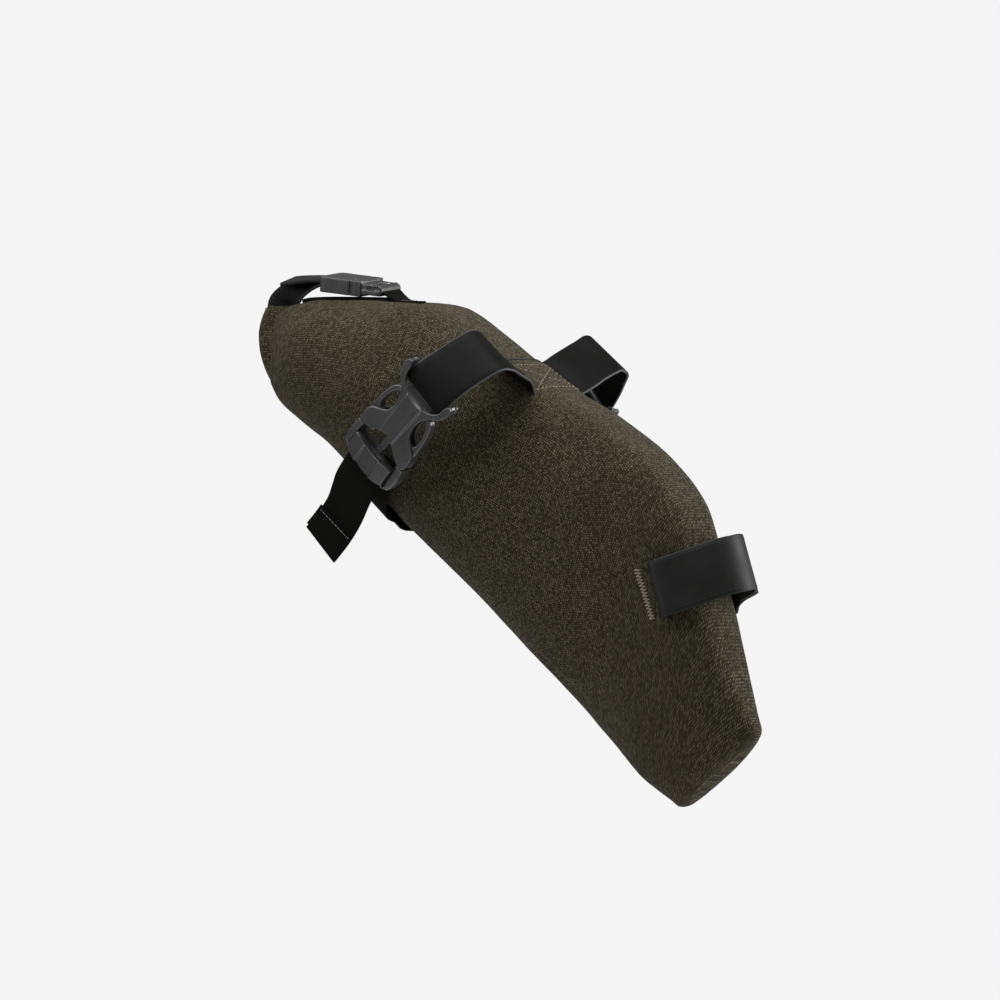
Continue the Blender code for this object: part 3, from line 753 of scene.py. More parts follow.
def ripple(piece, folds):
    """Small soft hollows and ridges: (start, end, radius, depth along the normal) in millimetres."""
    piece.data.update()
    normals = [vertex.normal.copy() for vertex in piece.data.vertices]
    for vertex, normal in zip(piece.data.vertices, normals):
        place = vertex.co / MM
        lift = sum(height * noise.noise(place / length) for length, height in WAVES)
        for start, end, radius, depth in folds:
            line = Vector(end) - Vector(start)
            share = 0.0
            if line.length > 0:
                share = clamp((place - Vector(start)).dot(line) / line.length_squared)
            near = (place - Vector(start) - line * share).length / radius
            if near < 1:
                lift += depth * (1 - near * near) ** 2
        vertex.co += normal * lift * MM
    piece.data.update()


def cover_sheet(piece, node):
    """Push the cloth out where it would cut through the stiffener inside it."""
    tree = surface_tree(node)
    piece.data.update()
    for vertex in piece.data.vertices:
        place = vertex.co / MM
        near, _, _, distance = tree.find_nearest(place)
        away = place - near
        if distance < COVER or (distance < 3 * COVER and away.dot(vertex.normal) < 0):
            shift = COVER - away.dot(vertex.normal)
            vertex.co += vertex.normal * max(0, shift) * MM
    piece.data.update()


def outer_tree(node):
    """Search tree over the outside of the CAD bag, without the walls of its inner pocket."""
    source = node.data
    centres = [Vector(((row[0] + row[2]) / 2, 0, (row[1] + row[3]) / 2)) for row in SECTIONS]
    faces = []
    for polygon in source.polygons:
        centre = polygon.center / MM
        middle = min(centres, key=lambda c: (c - centre).length)
        if (centre - middle).dot(polygon.normal) > 4:
            faces.append(tuple(polygon.vertices))
    return BVHTree.FromPolygons([vertex.co / MM for vertex in source.vertices], faces)


def make_bag(frame, look):
    """The stuffed bag: a loft that is filled out by pressure, then subdivided and softly creased."""
    rows = smooth(SECTIONS, RINGS_PER_SECTION)
    rings = [even_ring(row, min(SHRINK, row[4] / 6)) for row in rows]
    bag = loft("bag", rings, look, smooth_angle=None)
    inflate(bag)
    outside = outer_tree(frame["nodes"]["bag_body"])
    keep_close(bag, outside, *AFTER_PRESSURE)
    ripple(bag, FOLDS)
    keep_close(bag, outside, *AFTER_FOLDS)
    cover_sheet(bag, frame["nodes"]["base_stiffener"])
    subdivide(bag, "finer")
    finish_piece(bag, "bag", "olive_fabric", "bag_body")
    return bag


def roll_path():
    """The flattened spiral of the rolled mouth, seen from above."""
    steps = round(ROLL_TURNS * ROLL_STEPS)
    path = []
    for k in range(steps + 1):
        turn = 2 * math.pi * ROLL_TURNS * k / steps
        radius = ROLL_FIRST_RADIUS + (ROLL_LAST_RADIUS - ROLL_FIRST_RADIUS) * k / steps
        shift = ROLL_STRAIGHT / 2 * math.tanh(2.2 * math.cos(turn))
        path.append(Vector((shift + radius * math.cos(turn), radius * math.sin(turn), 0)))
    return path


def roll_row(path, level):
    """The spiral at one height, from -1 at the lower end to 1 at the top: drawn in, leant and uneven."""
    centre = Vector(ROLL_CENTRE)
    steps = len(path) - 1
    bulge = 1 - 0.05 * level ** 2 - 0.06 * level ** 8
    lean = ((ROLL_TOP_LEAN + ROLL_BOTTOM_LEAN) * level ** 2 + (ROLL_TOP_LEAN - ROLL_BOTTOM_LEAN) * level) / 2
    row = []
    for k, point in enumerate(path):
        height = level * (ROLL_HEIGHT / 2 - 1.2 * (1 - k / steps))
        place = Vector((point.x * bulge + lean, point.y * bulge, height))
        wobble = 0.35 * noise.noise((centre + place) / 9)
        row.append((centre + place + Vector((wobble, wobble, 0))) * MM)
    return row


def make_roll(look):
    """Wound layers of the rolled mouth: one band of cloth in a flattened spiral, stood on end."""
    path = roll_path()
    steps = len(path) - 1
    marks = [0.0]
    for a, b in zip(path, path[1:]):
        marks.append(marks[-1] + (b - a).length)
    shape = bmesh.new()
    uv = shape.loops.layers.uv.new("surface")
    grid = []
    for j in range(ROLL_ROWS + 1):
        row = roll_row(path, 2 * j / ROLL_ROWS - 1)
        grid.append([shape.verts.new(place) for place in row])
    for j in range(ROLL_ROWS):
        for k in range(steps):
            face = shape.faces.new((grid[j][k], grid[j][k + 1], grid[j + 1][k + 1], grid[j + 1][k]))
            corners = ((j, k), (j, k + 1), (j + 1, k + 1), (j + 1, k))
            lay_uv(uv, face, [(ROLL_HEIGHT * row / ROLL_ROWS, marks[column]) for row, column in corners])
    roll = add_piece("roll", mesh_from("roll", shape), look)
    thick = roll.modifiers.new("cloth", "SOLIDIFY")
    thick.thickness = CLOTH_THICKNESS * MM
    thick.offset = 0
    subdivide(roll, "soft")
    finish_piece(roll, "bag", "olive_fabric", "roll_top")


# ---------------------------------------------------------------- saddle strap

def make_saddle_strap(bag, looks):
    """The strap over the top of the bag, the panel sewn over it and its boxed cross of stitches."""
    bag_tree = surface_tree(bag)
    middle = []
    for k in range(CROWN_STEPS + 1):
        y = CROWN_HALF_LENGTH * (2 * k / CROWN_STEPS - 1)
        place, _ = drop_on(bag_tree, Vector(CROWN_CENTRE) + Vector((0, y, 0)), CROWN_OUTWARD, -CROWN_SINK)
        middle.append((tuple(place), CROWN_ALONG))
    stations = list(reversed(NEAR_WING_STATIONS[1:])) + middle + list(FAR_WING_STATIONS[1:])
    made = strap("saddle_strap_band", stations, STRAP_WIDTH, STRAP_THICKNESS, looks["strap"], steps=6,
                 edge_look=looks["strap_edge"])
    finish_piece(made, "bag", "rubberised_strap", "saddle_strap")
    heights = patch_grid(surface_tree(bag, made))
    for _ in range(3):
        heights = relaxed(heights)
    patch = panel("sewn_panel", heights, looks["fabric"])
    finish_piece(patch, "bag", "patch_fabric", "strap_patch")
    patch_tree = surface_tree(patch)
    stitched = stitches("panel_cross_stitches", cross_runs(patch_tree), looks["thread"], radius=0.34)
    finish_piece(stitched, "bag", "tan_thread")


def patch_grid(tree):
    """Rows of points of the panel, dropped on the bag and the strap."""
    along = Vector(CROWN_ALONG).normalized()
    grid = []
    for i in range(PATCH_ROWS + 1):
        row = []
        for j in range(PATCH_COLUMNS + 1):
            shift = along * PATCH_LENGTH * (i / PATCH_ROWS - 0.5)
            y = PATCH_HALF_WIDTH * (2 * j / PATCH_COLUMNS - 1)
            place, _ = drop_on(tree, Vector(CROWN_CENTRE) + shift + Vector((0, y, 0)), CROWN_OUTWARD, 0)
            row.append(place)
        grid.append(row)
    return grid


def relaxed(grid):
    """Each inner point of a grid moved half way to the mean of its neighbours."""
    made = [list(row) for row in grid]
    for i in range(1, len(grid) - 1):
        for j in range(1, len(grid[0]) - 1):
            mean = (grid[i - 1][j] + grid[i + 1][j] + grid[i][j - 1] + grid[i][j + 1]) / 4
            made[i][j] = grid[i][j].lerp(mean, 0.5)
    return made


def panel(name, grid, look):
    """A sewn-on piece of cloth through a grid of points, turned down at its edges."""
    shape = bmesh.new()
    uv = shape.loops.layers.uv.new("surface")
    up = Vector(CROWN_OUTWARD).normalized()
    last_row = len(grid) - 1
    last_column = len(grid[0]) - 1
    verts = []
    for i, row in enumerate(grid):
        line = []
        for j, point in enumerate(row):
            edge = min(i, last_row - i, j, last_column - j)
            line.append(shape.verts.new((point + up * (PATCH_LIFT * min(1, 0.3 * edge) - 0.15)) * MM))
        verts.append(line)
    for i in range(last_row):
        for j in range(last_column):
            face = shape.faces.new((verts[i][j], verts[i][j + 1], verts[i + 1][j + 1], verts[i + 1][j]))
            places = ((i, j), (i, j + 1), (i + 1, j + 1), (i + 1, j))
            across = 2 * PATCH_HALF_WIDTH / last_column
            lay_uv(uv, face, [(a * PATCH_LENGTH / last_row, b * across) for a, b in places])
    mesh = mesh_from(name, shape)
    if mesh.polygons[0].normal.dot(up) < 0:
        mesh.flip_normals()
    made = add_piece(name, mesh, look)
    step = made.modifiers.new("cloth", "SOLIDIFY")
    step.thickness = PATCH_THICKNESS * MM
    step.offset = -0.2
    subdivide(made, "soft")
    return made


def cross_runs(tree):
    """Runs of a stitched box with a diagonal cross in it, on the panel."""
    along = Vector(CROWN_ALONG).normalized()
    corners = [(-1, -1), (-1, 1), (1, 1), (1, -1)]

    def place(a, b):
        point = Vector(BOX_CENTRE) + along * BOX_HALF_LENGTH * a + Vector((0, BOX_HALF_WIDTH * b, 0))
        return drop_on(tree, point, CROWN_OUTWARD, 0.2)

    lines = [(corners[k], corners[(k + 1) % 4]) for k in range(4)]
    lines += [(corners[0], corners[2]), (corners[1], corners[3])]
    steps = 14
    runs = []
    for (a0, b0), (a1, b1) in lines:
        runs.append([place(a0 + (a1 - a0) * k / steps, b0 + (b1 - b0) * k / steps) for k in range(steps + 1)])
    return runs


# ---------------------------------------------------------------- buckles

def buckle_matrix(start, end, span, outward):
    """Frame of a buckle, in millimetres: x from its strap end to its webbing end, z outwards."""
    length = (Vector(end) - Vector(start)).normalized()
    across = Vector(span)
    across = (across - length * across.dot(length)).normalized()
    face = length.cross(across)
    if face.dot(Vector(outward)) < 0:
        across = -across
        face = length.cross(across)
    turned = Matrix((length, across, face)).transposed().to_4x4()
    return Matrix.Translation(Vector(start)) @ turned


def spline_outline(points, steps=4):
    """A closed smooth outline through points."""
    around = [points[-1], *points, points[0], points[1]]
    fine = smooth([(x, y) for x, y in around], steps)
    return fine[steps:-steps - 1]


def mirrored_outline(half):
    """Half an outline at positive y, completed by its mirror image."""
    return list(half) + [(x, -y) for x, y in reversed(half) if abs(y) > 0.01]


def add_slab(shape, outline, low, high):
    """Add a flat slab to a mesh: an outline in x and y, from low to high in z."""
    bottom = [shape.verts.new((x, y, low)) for x, y in outline]
    top = [shape.verts.new((x, y, high)) for x, y in outline]
    count = len(outline)
    for k in range(count):
        nxt = (k + 1) % count
        shape.faces.new((bottom[k], bottom[nxt], top[nxt], top[k]))
    shape.faces.new(list(reversed(bottom)))
    shape.faces.new(top)


def add_rod(shape, start, end, radius, sides=16):
    """Add a round rod to a mesh."""
    direction = (Vector(end) - Vector(start)).normalized()
    first = direction.orthogonal().normalized()
    second = direction.cross(first)
    rings = []
    for place in (Vector(start), Vector(end)):
        rings.append([
            shape.verts.new(place + (first * math.cos(a) + second * math.sin(a)) * radius)
            for a in (2 * math.pi * s / sides for s in range(sides))
        ])
    for s in range(sides):
        nxt = (s + 1) % sides
        shape.faces.new((rings[0][s], rings[0][nxt], rings[1][nxt], rings[1][s]))
    shape.faces.new(rings[0])
    shape.faces.new(rings[1])


def box_outline(x0, x1, y0, y1):
    return [(x0, y0), (x1, y0), (x1, y1), (x0, y1)]


def solid_mesh(name, build):
    """Mesh of the solids that a function adds to an empty bmesh."""
    shape = bmesh.new()
    build(shape)
    bmesh.ops.recalc_face_normals(shape, faces=shape.faces)
    return mesh_from(name, shape)


def add_remesh(piece, name, voxel):
    step = piece.modifiers.new(name, "REMESH")
    step.mode = "VOXEL"
    step.voxel_size = voxel


def add_cut(piece, name, cut, voxel):
    """Fuse a piece's solids and cut others out of them. Returns the cutter, to be removed later."""
    cutter = bpy.data.objects.new(name, solid_mesh(name, cut))
    bpy.context.scene.collection.objects.link(cutter)
    add_remesh(piece, "fuse", voxel)
    step = piece.modifiers.new("cut", "BOOLEAN")
    step.operation = "DIFFERENCE"
    step.solver = "EXACT"
    step.use_self = True
    step.object = cutter
    return cutter


def moulded(name, build, matrix, look, voxel=PLASTIC_VOXEL, shaping=None, cut=None):
    """A moulded piece: solids fused by a fine remesh, softened, shaped by a function and placed."""
    made = add_piece(name, solid_mesh(name, build), look)
    cutter = None
    if cut is not None:
        cutter = add_cut(made, f"{name}_cut", cut, voxel)
    add_remesh(made, "even", voxel)
    soft = made.modifiers.new("soft", "SMOOTH")
    soft.factor = 0.5
    soft.iterations = 5
    graph = bpy.context.evaluated_depsgraph_get()
    final = bpy.data.meshes.new_from_object(made.evaluated_get(graph))
    made.modifiers.clear()
    if cutter is not None:
        bpy.data.objects.remove(cutter)
    for vertex in final.vertices:
        place = vertex.co.copy()
        if shaping is not None:
            place = shaping(place)
        vertex.co = (matrix @ place) * MM
    old = made.data
    made.data = final
    bpy.data.meshes.remove(old)
    final.materials.clear()
    final.materials.append(look)
    final.shade_smooth()
    lighter = made.modifiers.new("lighter", "DECIMATE")
    lighter.ratio = KEPT_SHARE
    return made


def female_outline(mouth_arch):
    """Plate of the female half: ears, a waist and shoulders. The mouth edge is arched or straight."""
    half = [(15.6, 0), (15.0, 6), (12.6, 12.5), (7.5, 17.2), (0.5, 18.6), (-2.6, 20.4), (-1.6, 23.2),
            (3.5, 23.4), (9.5, 21.0), (14.0, 16.6), (19, 12.6), (25, 10.6), (31, 10.2), (36.5, 11.8),
            (40.5, 16.2), (43.8, 20.8), (48, 23.2), (53, 23.6), (57.6, 22.8), (57.8, 18),
            (56 - mouth_arch * 0.2, 11), (56 - mouth_arch * 0.75, 5.2), (56 - mouth_arch, 0)]
    return spline_outline(mirrored_outline(half), 3)


def build_female(shape):
    """Two plates held apart by ears, an end wall and shoulder walls, with a bar for the strap."""
    add_slab(shape, female_outline(8.0), 2.9, HALF_THICKNESS)
    add_slab(shape, female_outline(1.5), -HALF_THICKNESS, -2.9)
    for side in (1, -1):
        ear = [(-1.4, 22.6), (-2.6, 20.6), (0.4, 19.2), (7.0, 18.4), (12.0, 15.4), (13.6, 16.6), (9.4, 20.8),
               (3.2, 23.2)]
        add_slab(shape, to_side(ear, side), -4.6, 5.4)
        wall = [(45.5, 21.4), (45.5, 22.9), (50, 23.3), (57.4, 22.8), (57.4, 21.4)]
        add_slab(shape, to_side(wall, side), -4.0, 4.0)
    add_slab(shape, box_outline(14.6, 16.2, -12.4, 12.4), -4.0, 4.0)
    add_rod(shape, (4.6, -20, -1.6), (4.6, 20, -1.6), 1.9)


def female_shape(place):
    """Crowned plates and a raised middle channel with crisp sides on the outer one."""
    x, y, z = place
    side = abs(y)
    z *= 1 - 0.20 * (side / HALF_SPAN) ** 2
    if z > 1.5:
        channel_half = 7.4 - 0.04 * (x - 14)
        edge = clamp((channel_half + 1.1 - side) / 1.3)
        z += 1.25 * edge * edge * (3 - 2 * edge)
        hollow = math.exp(-((x - 29) / 10) ** 2)
        z -= 0.9 * hollow * (1 - edge)
        z -= 0.4 * math.exp(-(side / 3.2) ** 2)
    return Vector((x, y, z))


BLOCK_END = ((66, 24.0), (74, 23.8), (79.4, 22.4), (83.2, 15.5), (85.2, 8), (85.8, 0))


def build_male(shape):
    """Side arms and the ladder block that the webbing runs through, with the guide in the middle."""
    block = [(66.2, 0), (66.2, 17.6), *BLOCK_END]
    add_slab(shape, spline_outline(mirrored_outline(block), 3), -HALF_THICKNESS, 2.6)
    arm = [(58.6, 18.4), (58.6, 23.4), (66, 24.0), (74, 23.8), (78.6, 22.6), (79.4, 19.6), (66, 18.6)]
    for side in (1, -1):
        add_slab(shape, to_side(arm, side), -HALF_THICKNESS, 4.4)
    cover = [(67.6, 0), (66.8, 8), (65.4, 17.2), (70, 18.0), (77, 17.8), (80.4, 16.4), (83.4, 8.5), (84.6, 0)]
    add_slab(shape, spline_outline(mirrored_outline(cover), 3), 1.0, 6.8)
    add_slab(shape, box_outline(37, 68, -2.4, 2.4), -2.7, -0.6)


def cut_male(shape):
    """The slots of the webbing in the back of the block, and the groove round its cover."""
    add_slab(shape, box_outline(69.5, 73.0, -16.6, 16.6), -9, -2.0)
    add_slab(shape, box_outline(76.5, 80.0, -15.0, 15.0), -9, -2.0)
    for side in (1, -1):
        add_slab(shape, box_outline(61.0, 81.0, *sorted((side * 17.7, side * 18.9))), -1.5, 9)


def male_shape(place):
    """The cover falls away towards the webbing and has a hollow for the thumb along its middle."""
    x, y, z = place
    side = abs(y)
    if z > 0 and x > 60:
        fall = max(0, x - 66) / 19
        z *= 1 - 0.50 * fall ** 1.6
        z *= 1 - 0.14 * (side / 18) ** 2
        if x > 64.2 and z > 1.5:
            edge = clamp((7.9 - side) / 1.2)
            z -= 1.5 * edge * edge * (3 - 2 * edge) * min(1, (x - 64.2) / 2) * (1 - 0.35 * (y + 8) / 16)
    return Vector((x, y, z))


def prong_outline(side):
    """Spring arm with a C-shaped release tab."""
    outline = [(56.4, 14.4), (48.5, 15.4), (46.6, 21.0), (44.0, 22.9), (39, 22.8), (31, 22.0), (24.5, 20.8),
               (19.4, 18.4), (17.6, 15.0), (19.2, 13.2), (22, 15.6), (26, 17.8), (32, 19.2), (38, 19.2),
               (41.5, 16.6), (45, 11.8), (56.4, 10.6)]
    return to_side(spline_outline(outline, 3), side)


def to_side(outline, side):
    """An outline drawn at positive y, or its mirror image for side -1."""
    return [(x, side * y) for x, y in outline][::side]


def make_buckle(side, label, looks):
    """Side-release buckle of one saddle strap, in its four moulded pieces."""
    flip = Vector((1, side, 1))
    top, bottom, span = (Vector(place) * flip for place in (BUCKLE_TOP, BUCKLE_BOTTOM, BUCKLE_SPAN))
    matrix = buckle_matrix(top, bottom, span, (0, -side, 0))
    look = looks["plastic"]
    female = moulded(f"{label}_female_half", build_female, matrix, look, shaping=female_shape)
    finish_piece(female, "bag", "black_plastic", f"{label}_buckle_female")
    male = moulded(f"{label}_male_half", build_male, matrix, look, shaping=male_shape, cut=cut_male)
    finish_piece(male, f"{label}_male", "black_plastic", f"{label}_buckle_male")
    for turn in (1, -1):
        forward = (matrix.to_3x3() @ Vector((0, turn, 0))).x > 0
        which = "front" if forward else "rear"

        def build_prong(shape, turn=turn):
            add_slab(shape, prong_outline(turn), -PRONG_HALF_THICKNESS, PRONG_HALF_THICKNESS)

        tab = moulded(f"{label}_release_tab_{which}", build_prong, matrix, look)
        finish_piece(tab, f"{label}_{which}_prong", "black_plastic", f"{label}_prong_{which}")


# ---------------------------------------------------------------- webbing

def make_tail(side, label, looks):
    """Loose end of webbing that hangs from the ladder block, folded over and sewn at its end."""
    stations = flipped(TAIL_STATIONS, side)
    tail = strap(f"{label}_tail", stations, TAIL_WIDTH, WEBBING_THICKNESS, looks["webbing"], steps=7)
    finish_piece(tail, f"{label}_male", "black_webbing", f"{label}_webbing_tail")
    outward = Vector((0, -side, 0))
    rows = smooth([(*centre, *direction) for centre, direction in stations], 12)
    places = [Vector(row[:3]) for row in rows]
    back = 0.0
    start = len(places) - 1
    while back < TAIL_HEM:
        back += (places[start] - places[start - 1]).length
        start -= 1
    hem_rows = [(tuple(Vector(row[:3]) + outward * WEBBING_THICKNESS * HEM_LIFT), tuple(row[3:]))
                for row in rows[start::4]]
    hem_width = TAIL_WIDTH + HEM_WIDER
    hem = strap(f"{label}_tail_hem", hem_rows, hem_width, WEBBING_THICKNESS, looks["webbing"], steps=2)
    finish_piece(hem, f"{label}_male", "black_webbing")
    line = rows[start + 1]
    direction = Vector(line[3:]).normalized()
    centre = Vector(line[:3]) + outward * WEBBING_THICKNESS * STITCH_LIFT
    run = [(centre + direction * TAIL_WIDTH * share, outward) for share in (-0.47, -0.2, 0.2, 0.47)]
    sewn = stitches(f"{label}_tail_stitches", [run], looks["grey_thread"], dash=2.6, gap=0.35, radius=0.34)
    finish_piece(sewn, f"{label}_male", "tan_thread")


def make_compression(bag, looks):
    """Webbing that hangs under the belly, in two halves that each bend to one male buckle half."""
    tree = surface_tree(bag)
    axis = Vector(UNDER_LENGTH_DIRECTION).normalized()
    down = Vector((axis.z, 0, -axis.x))
    hub = Vector(UNDER_CENTRE) - down * UNDER_HUB_HEIGHT
    for side, label in ((1, "near"), (-1, "far")):
        belly = []
        for k in range(UNDER_STEPS + 1):
            angle = -UNDER_REACH * (1 - k / UNDER_STEPS) * side
            outward = down * math.cos(angle) + Vector((0, math.sin(angle), 0))
            place, _ = drop_on(tree, hub, outward, UNDER_LIFT)
            belly.append((tuple(place), tuple(axis)))
        stations = flipped(UNDER_END_STATIONS, side) + belly
        half = strap(f"{label}_belly_webbing", stations, UNDER_WIDTH, WEBBING_THICKNESS, looks["webbing"],
                     steps=4)
        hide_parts("compression_webbing")
        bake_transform(half)


# ---------------------------------------------------------------- closure

# Half outlines of the closure buckle, in its own frame
CASE_HALF = ((-0.6, 0), (-0.6, 8), (0.0, 12.0), (3.0, 13.1), (12, 12.8), (18, 13.0), (23.0, 13.1), (24, 12.4),
             (24, 0))
COLLAR_HALF = ((24.7, 0), (24.7, 12.6), (26, 13.1), (31.5, 12.9), (33.0, 11.8), (33.2, 0))
RAILS_HALF = ((32, 0), (32, 11.4), (40, 11.6), (46, 11.4), (47.6, 9.5), (47.8, 0))
CLOSURE_PRONG = ((25.0, 8.6), (21, 9.0), (19.5, 11.0), (15, 11.6), (11.5, 11.0), (10.2, 8.6), (11.4, 7.6),
                 (14, 9.0), (18, 8.4), (21, 6.4), (25.0, 6.2))
CLOSURE_PRONG_HALF_THICKNESS = 1.7
CLOSURE_VOXEL = 0.35
CLOSURE_PRONG_VOXEL = 0.3


def add_closure_slab(shape, half, low, high):
    add_slab(shape, spline_outline(mirrored_outline(half), 3), low, high)


def build_case(shape):
    """Closed case of the female half."""
    add_closure_slab(shape, CASE_HALF, -CLOSURE_HALF_THICKNESS, CLOSURE_HALF_THICKNESS)


def cut_case(shape):
    """The hollow that the prongs go into, and the slot of the strap."""
    add_slab(shape, box_outline(7.0, 30, -11.4, 11.4), -2.6, 2.6)
    add_slab(shape, box_outline(1.9, 4.4, -10.6, 10.6), -9, 9)


def build_block(shape):
    """Collar, rails and end bar of the male half, with its guide."""
    add_closure_slab(shape, COLLAR_HALF, -CLOSURE_HALF_THICKNESS, CLOSURE_HALF_THICKNESS)
    add_closure_slab(shape, RAILS_HALF, -3.6, -0.6)
    add_slab(shape, box_outline(32, 37.4, -11.6, 11.6), -3.6, 3.3)
    add_rod(shape, (45.2, -10.8, 0), (45.2, 10.8, 0), 3.6)
    for side in (1, -1):
        add_rod(shape, (36, side * 11.0, 2.7), (45, side * 11.0, 2.9), 0.5)
    add_slab(shape, box_outline(15, 26, -1.8, 1.8), -1.5, 1.5)


def cut_block(shape):
    """The slot of the webbing."""
    add_slab(shape, box_outline(38.6, 41.4, -9.4, 9.4), -9, 9)


def make_closure(looks):
    """Strap that holds the roll down, with its small side-release buckle."""
    span = (0, math.cos(CLOSURE_ROLL_ANGLE), math.sin(CLOSURE_ROLL_ANGLE))
    start = Vector(CLOSURE_START)
    end = Vector(CLOSURE_END)
    matrix = buckle_matrix(start, end, span, (0, 0, 1))
    look = looks["plastic"]
    female = moulded("closure_female_half", build_case, matrix, look, voxel=CLOSURE_VOXEL, cut=cut_case)
    finish_piece(female, "closure_female", "black_plastic", "closure_buckle_female")
    male = moulded("closure_male_half", build_block, matrix, look, voxel=CLOSURE_VOXEL, cut=cut_block)
    finish_piece(male, "bag", "black_plastic", "closure_buckle_male")
    for side, label in ((1, "far"), (-1, "near")):

        def build_prong(shape, side=side):
            outline = to_side(spline_outline(CLOSURE_PRONG, 3), side)
            add_slab(shape, outline, -CLOSURE_PRONG_HALF_THICKNESS, CLOSURE_PRONG_HALF_THICKNESS)

        tab = moulded(f"closure_release_tab_{label}", build_prong, matrix, look, voxel=CLOSURE_PRONG_VOXEL)
        finish_piece(tab, f"closure_{label}_prong", "black_plastic", f"closure_prong_{label}")
    make_rear_band(span, start, looks)
    make_front_webbing(span, end, looks)


def stations_from(origin, rows):
    """Stations whose centres are given from an origin."""
    return [(tuple(origin + Vector(offset)), direction) for offset, direction in rows]


def make_rear_band(span, start, looks):
    """The band from the roll up to the buckle, doubled where it is sewn round the bar."""
    top = Vector(ROLL_CENTRE) + Vector((0, 0, ROLL_HEIGHT / 2))
    from_roll = (
        ((1.6, 0, -6), (-0.82, -0.57, 0)),
        ((1.6, 0, 0), (-0.82, -0.57, 0)),
        ((4.6, 0, 3.6), (-0.88, -0.35, 0.03)),
        ((12.0, 0, 7.0), (-0.99, 0.06, 0.10)),
        ((23.4, 0, 10.8), (-0.71, 0.68, 0.18)),
    )
    to_buckle = (
        ((-4.0, 0, -1.2), (-0.12, 0.98, 0.14)),
        ((2.6, 0, -1.2), span),
    )
    fold = (
        ((-34, 0.5, 0.6), (-0.48, 0.85, 0.17)),
        ((-22, 0, 1.6), (-0.34, 0.92, 0.16)),
        ((-9, 0, 2.0), (-0.10, 0.98, 0.14)),
        ((1.5, 0, 1.4), span),
    )
    look = looks["closure_webbing"]
    stations = stations_from(top, from_roll) + stations_from(start, to_buckle)
    band = strap("closure_band", stations, CLOSURE_WIDTH, WEBBING_THICKNESS, look, steps=8)
    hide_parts("closure_webbing_rear")
    doubled = strap("closure_band_fold", stations_from(start, fold), CLOSURE_WIDTH, FOLD_THICKNESS, look,
                    steps=6)
    for piece in (band, doubled):
        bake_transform(piece)


def make_front_webbing(span, end, looks):
    """The short front end of the closure strap, sewn to the bag, with a second layer under the buckle."""
    front = (
        ((-4.6, 0, 0.6), span),
        ((1.0, 0, -1.2), span),
        ((5, 0, -4.0), (0, 1, 0.04)),
        ((9.5, 0, -6.9), (0, 1, 0)),
        ((14, 0, -8.0), (0, 1, 0)),
        ((22, 0, -8.2), (0, 1, 0)),
    )
    look = looks["webbing"]
    stations = stations_from(end, front)
    anchor = strap("closure_anchor", stations, CLOSURE_WIDTH, WEBBING_THICKNESS, look, steps=6)
    finish_piece(anchor, "bag", "black_webbing", "closure_webbing_front")
    lower = ((6, -7.4), (-4, -6.6), (-20, -6.2), (-40, -6.0), (-56, -6.4), (-63, -7.4))
    layer = stations_from(end, [((x, 0, z), (0, 1, 0)) for x, z in lower])
    under = strap("closure_lower_layer", layer, CLOSURE_WIDTH, 2 * WEBBING_THICKNESS, look, steps=6)
    finish_piece(under, "bag", "black_webbing")
    line = end + Vector((16, 0, -7.3))
    run = [(line + Vector((0, y, 0)), Vector((0, 0, 1))) for y in (-9, -3, 3, 9)]
    sewn = stitches("closure_anchor_stitches", [run], looks["grey_thread"], dash=2.2, gap=0.6, radius=0.25)
    finish_piece(sewn, "bag", "tan_thread")


# ---------------------------------------------------------------- seat-post straps

FORWARD = Vector((math.cos(POST_LEAN), 0, math.sin(POST_LEAN)))
ALONG_POST = Vector((-math.sin(POST_LEAN), 0, math.cos(POST_LEAN)))


def post_plane(forward, across):
    """A place on the middle line of the seat-post straps, which rise to the front and the far side."""
    rise = POST_STRAP_RISE * (clamp((forward - ROOT_BACK) / RISE_LENGTH) - 0.5)
    far_share = clamp((across + 5) / 25) * clamp((forward - ROOT_BACK) / 10)
    lift = POST_STRAP_DROP + rise + FAR_LIFT * far_share
    return FORWARD * forward + Vector((0, across, 0)) + ALONG_POST * lift


def loop_arc(radius, first, last, steps):
    angles = [math.radians(first + (last - first) * k / steps) for k in range(steps + 1)]
    return [(LOOP_CENTRE + radius * math.cos(angle), radius * math.sin(angle)) for angle in angles]


def post_stations(path):
    return [(tuple(post_plane(*place)), tuple(ALONG_POST)) for place in path]


def edge_stitch_runs(path, outward_side):
    """Two lines of stitches near the long edges of a strap laid out in the post plane."""
    runs = []
    fine = smooth(path, 5)
    for edge in (-1, 1):
        run = []
        for i, place in enumerate(fine):
            ahead = Vector(fine[min(i + 1, len(fine) - 1)])
            behind = Vector(fine[max(i - 1, 0)])
            tangent = (ahead - behind).normalized()
            normal = Vector((tangent.y, -tangent.x)) * outward_side
            centre = Vector(place) + normal * (STRAP_THICKNESS / 2 - 0.02)
            outward = (FORWARD * normal.x + Vector((0, normal.y, 0))).normalized()
            run.append((post_plane(*centre) + ALONG_POST * edge * (STRAP_WIDTH / 2 - 3), outward))
        runs.append(run)
    return runs


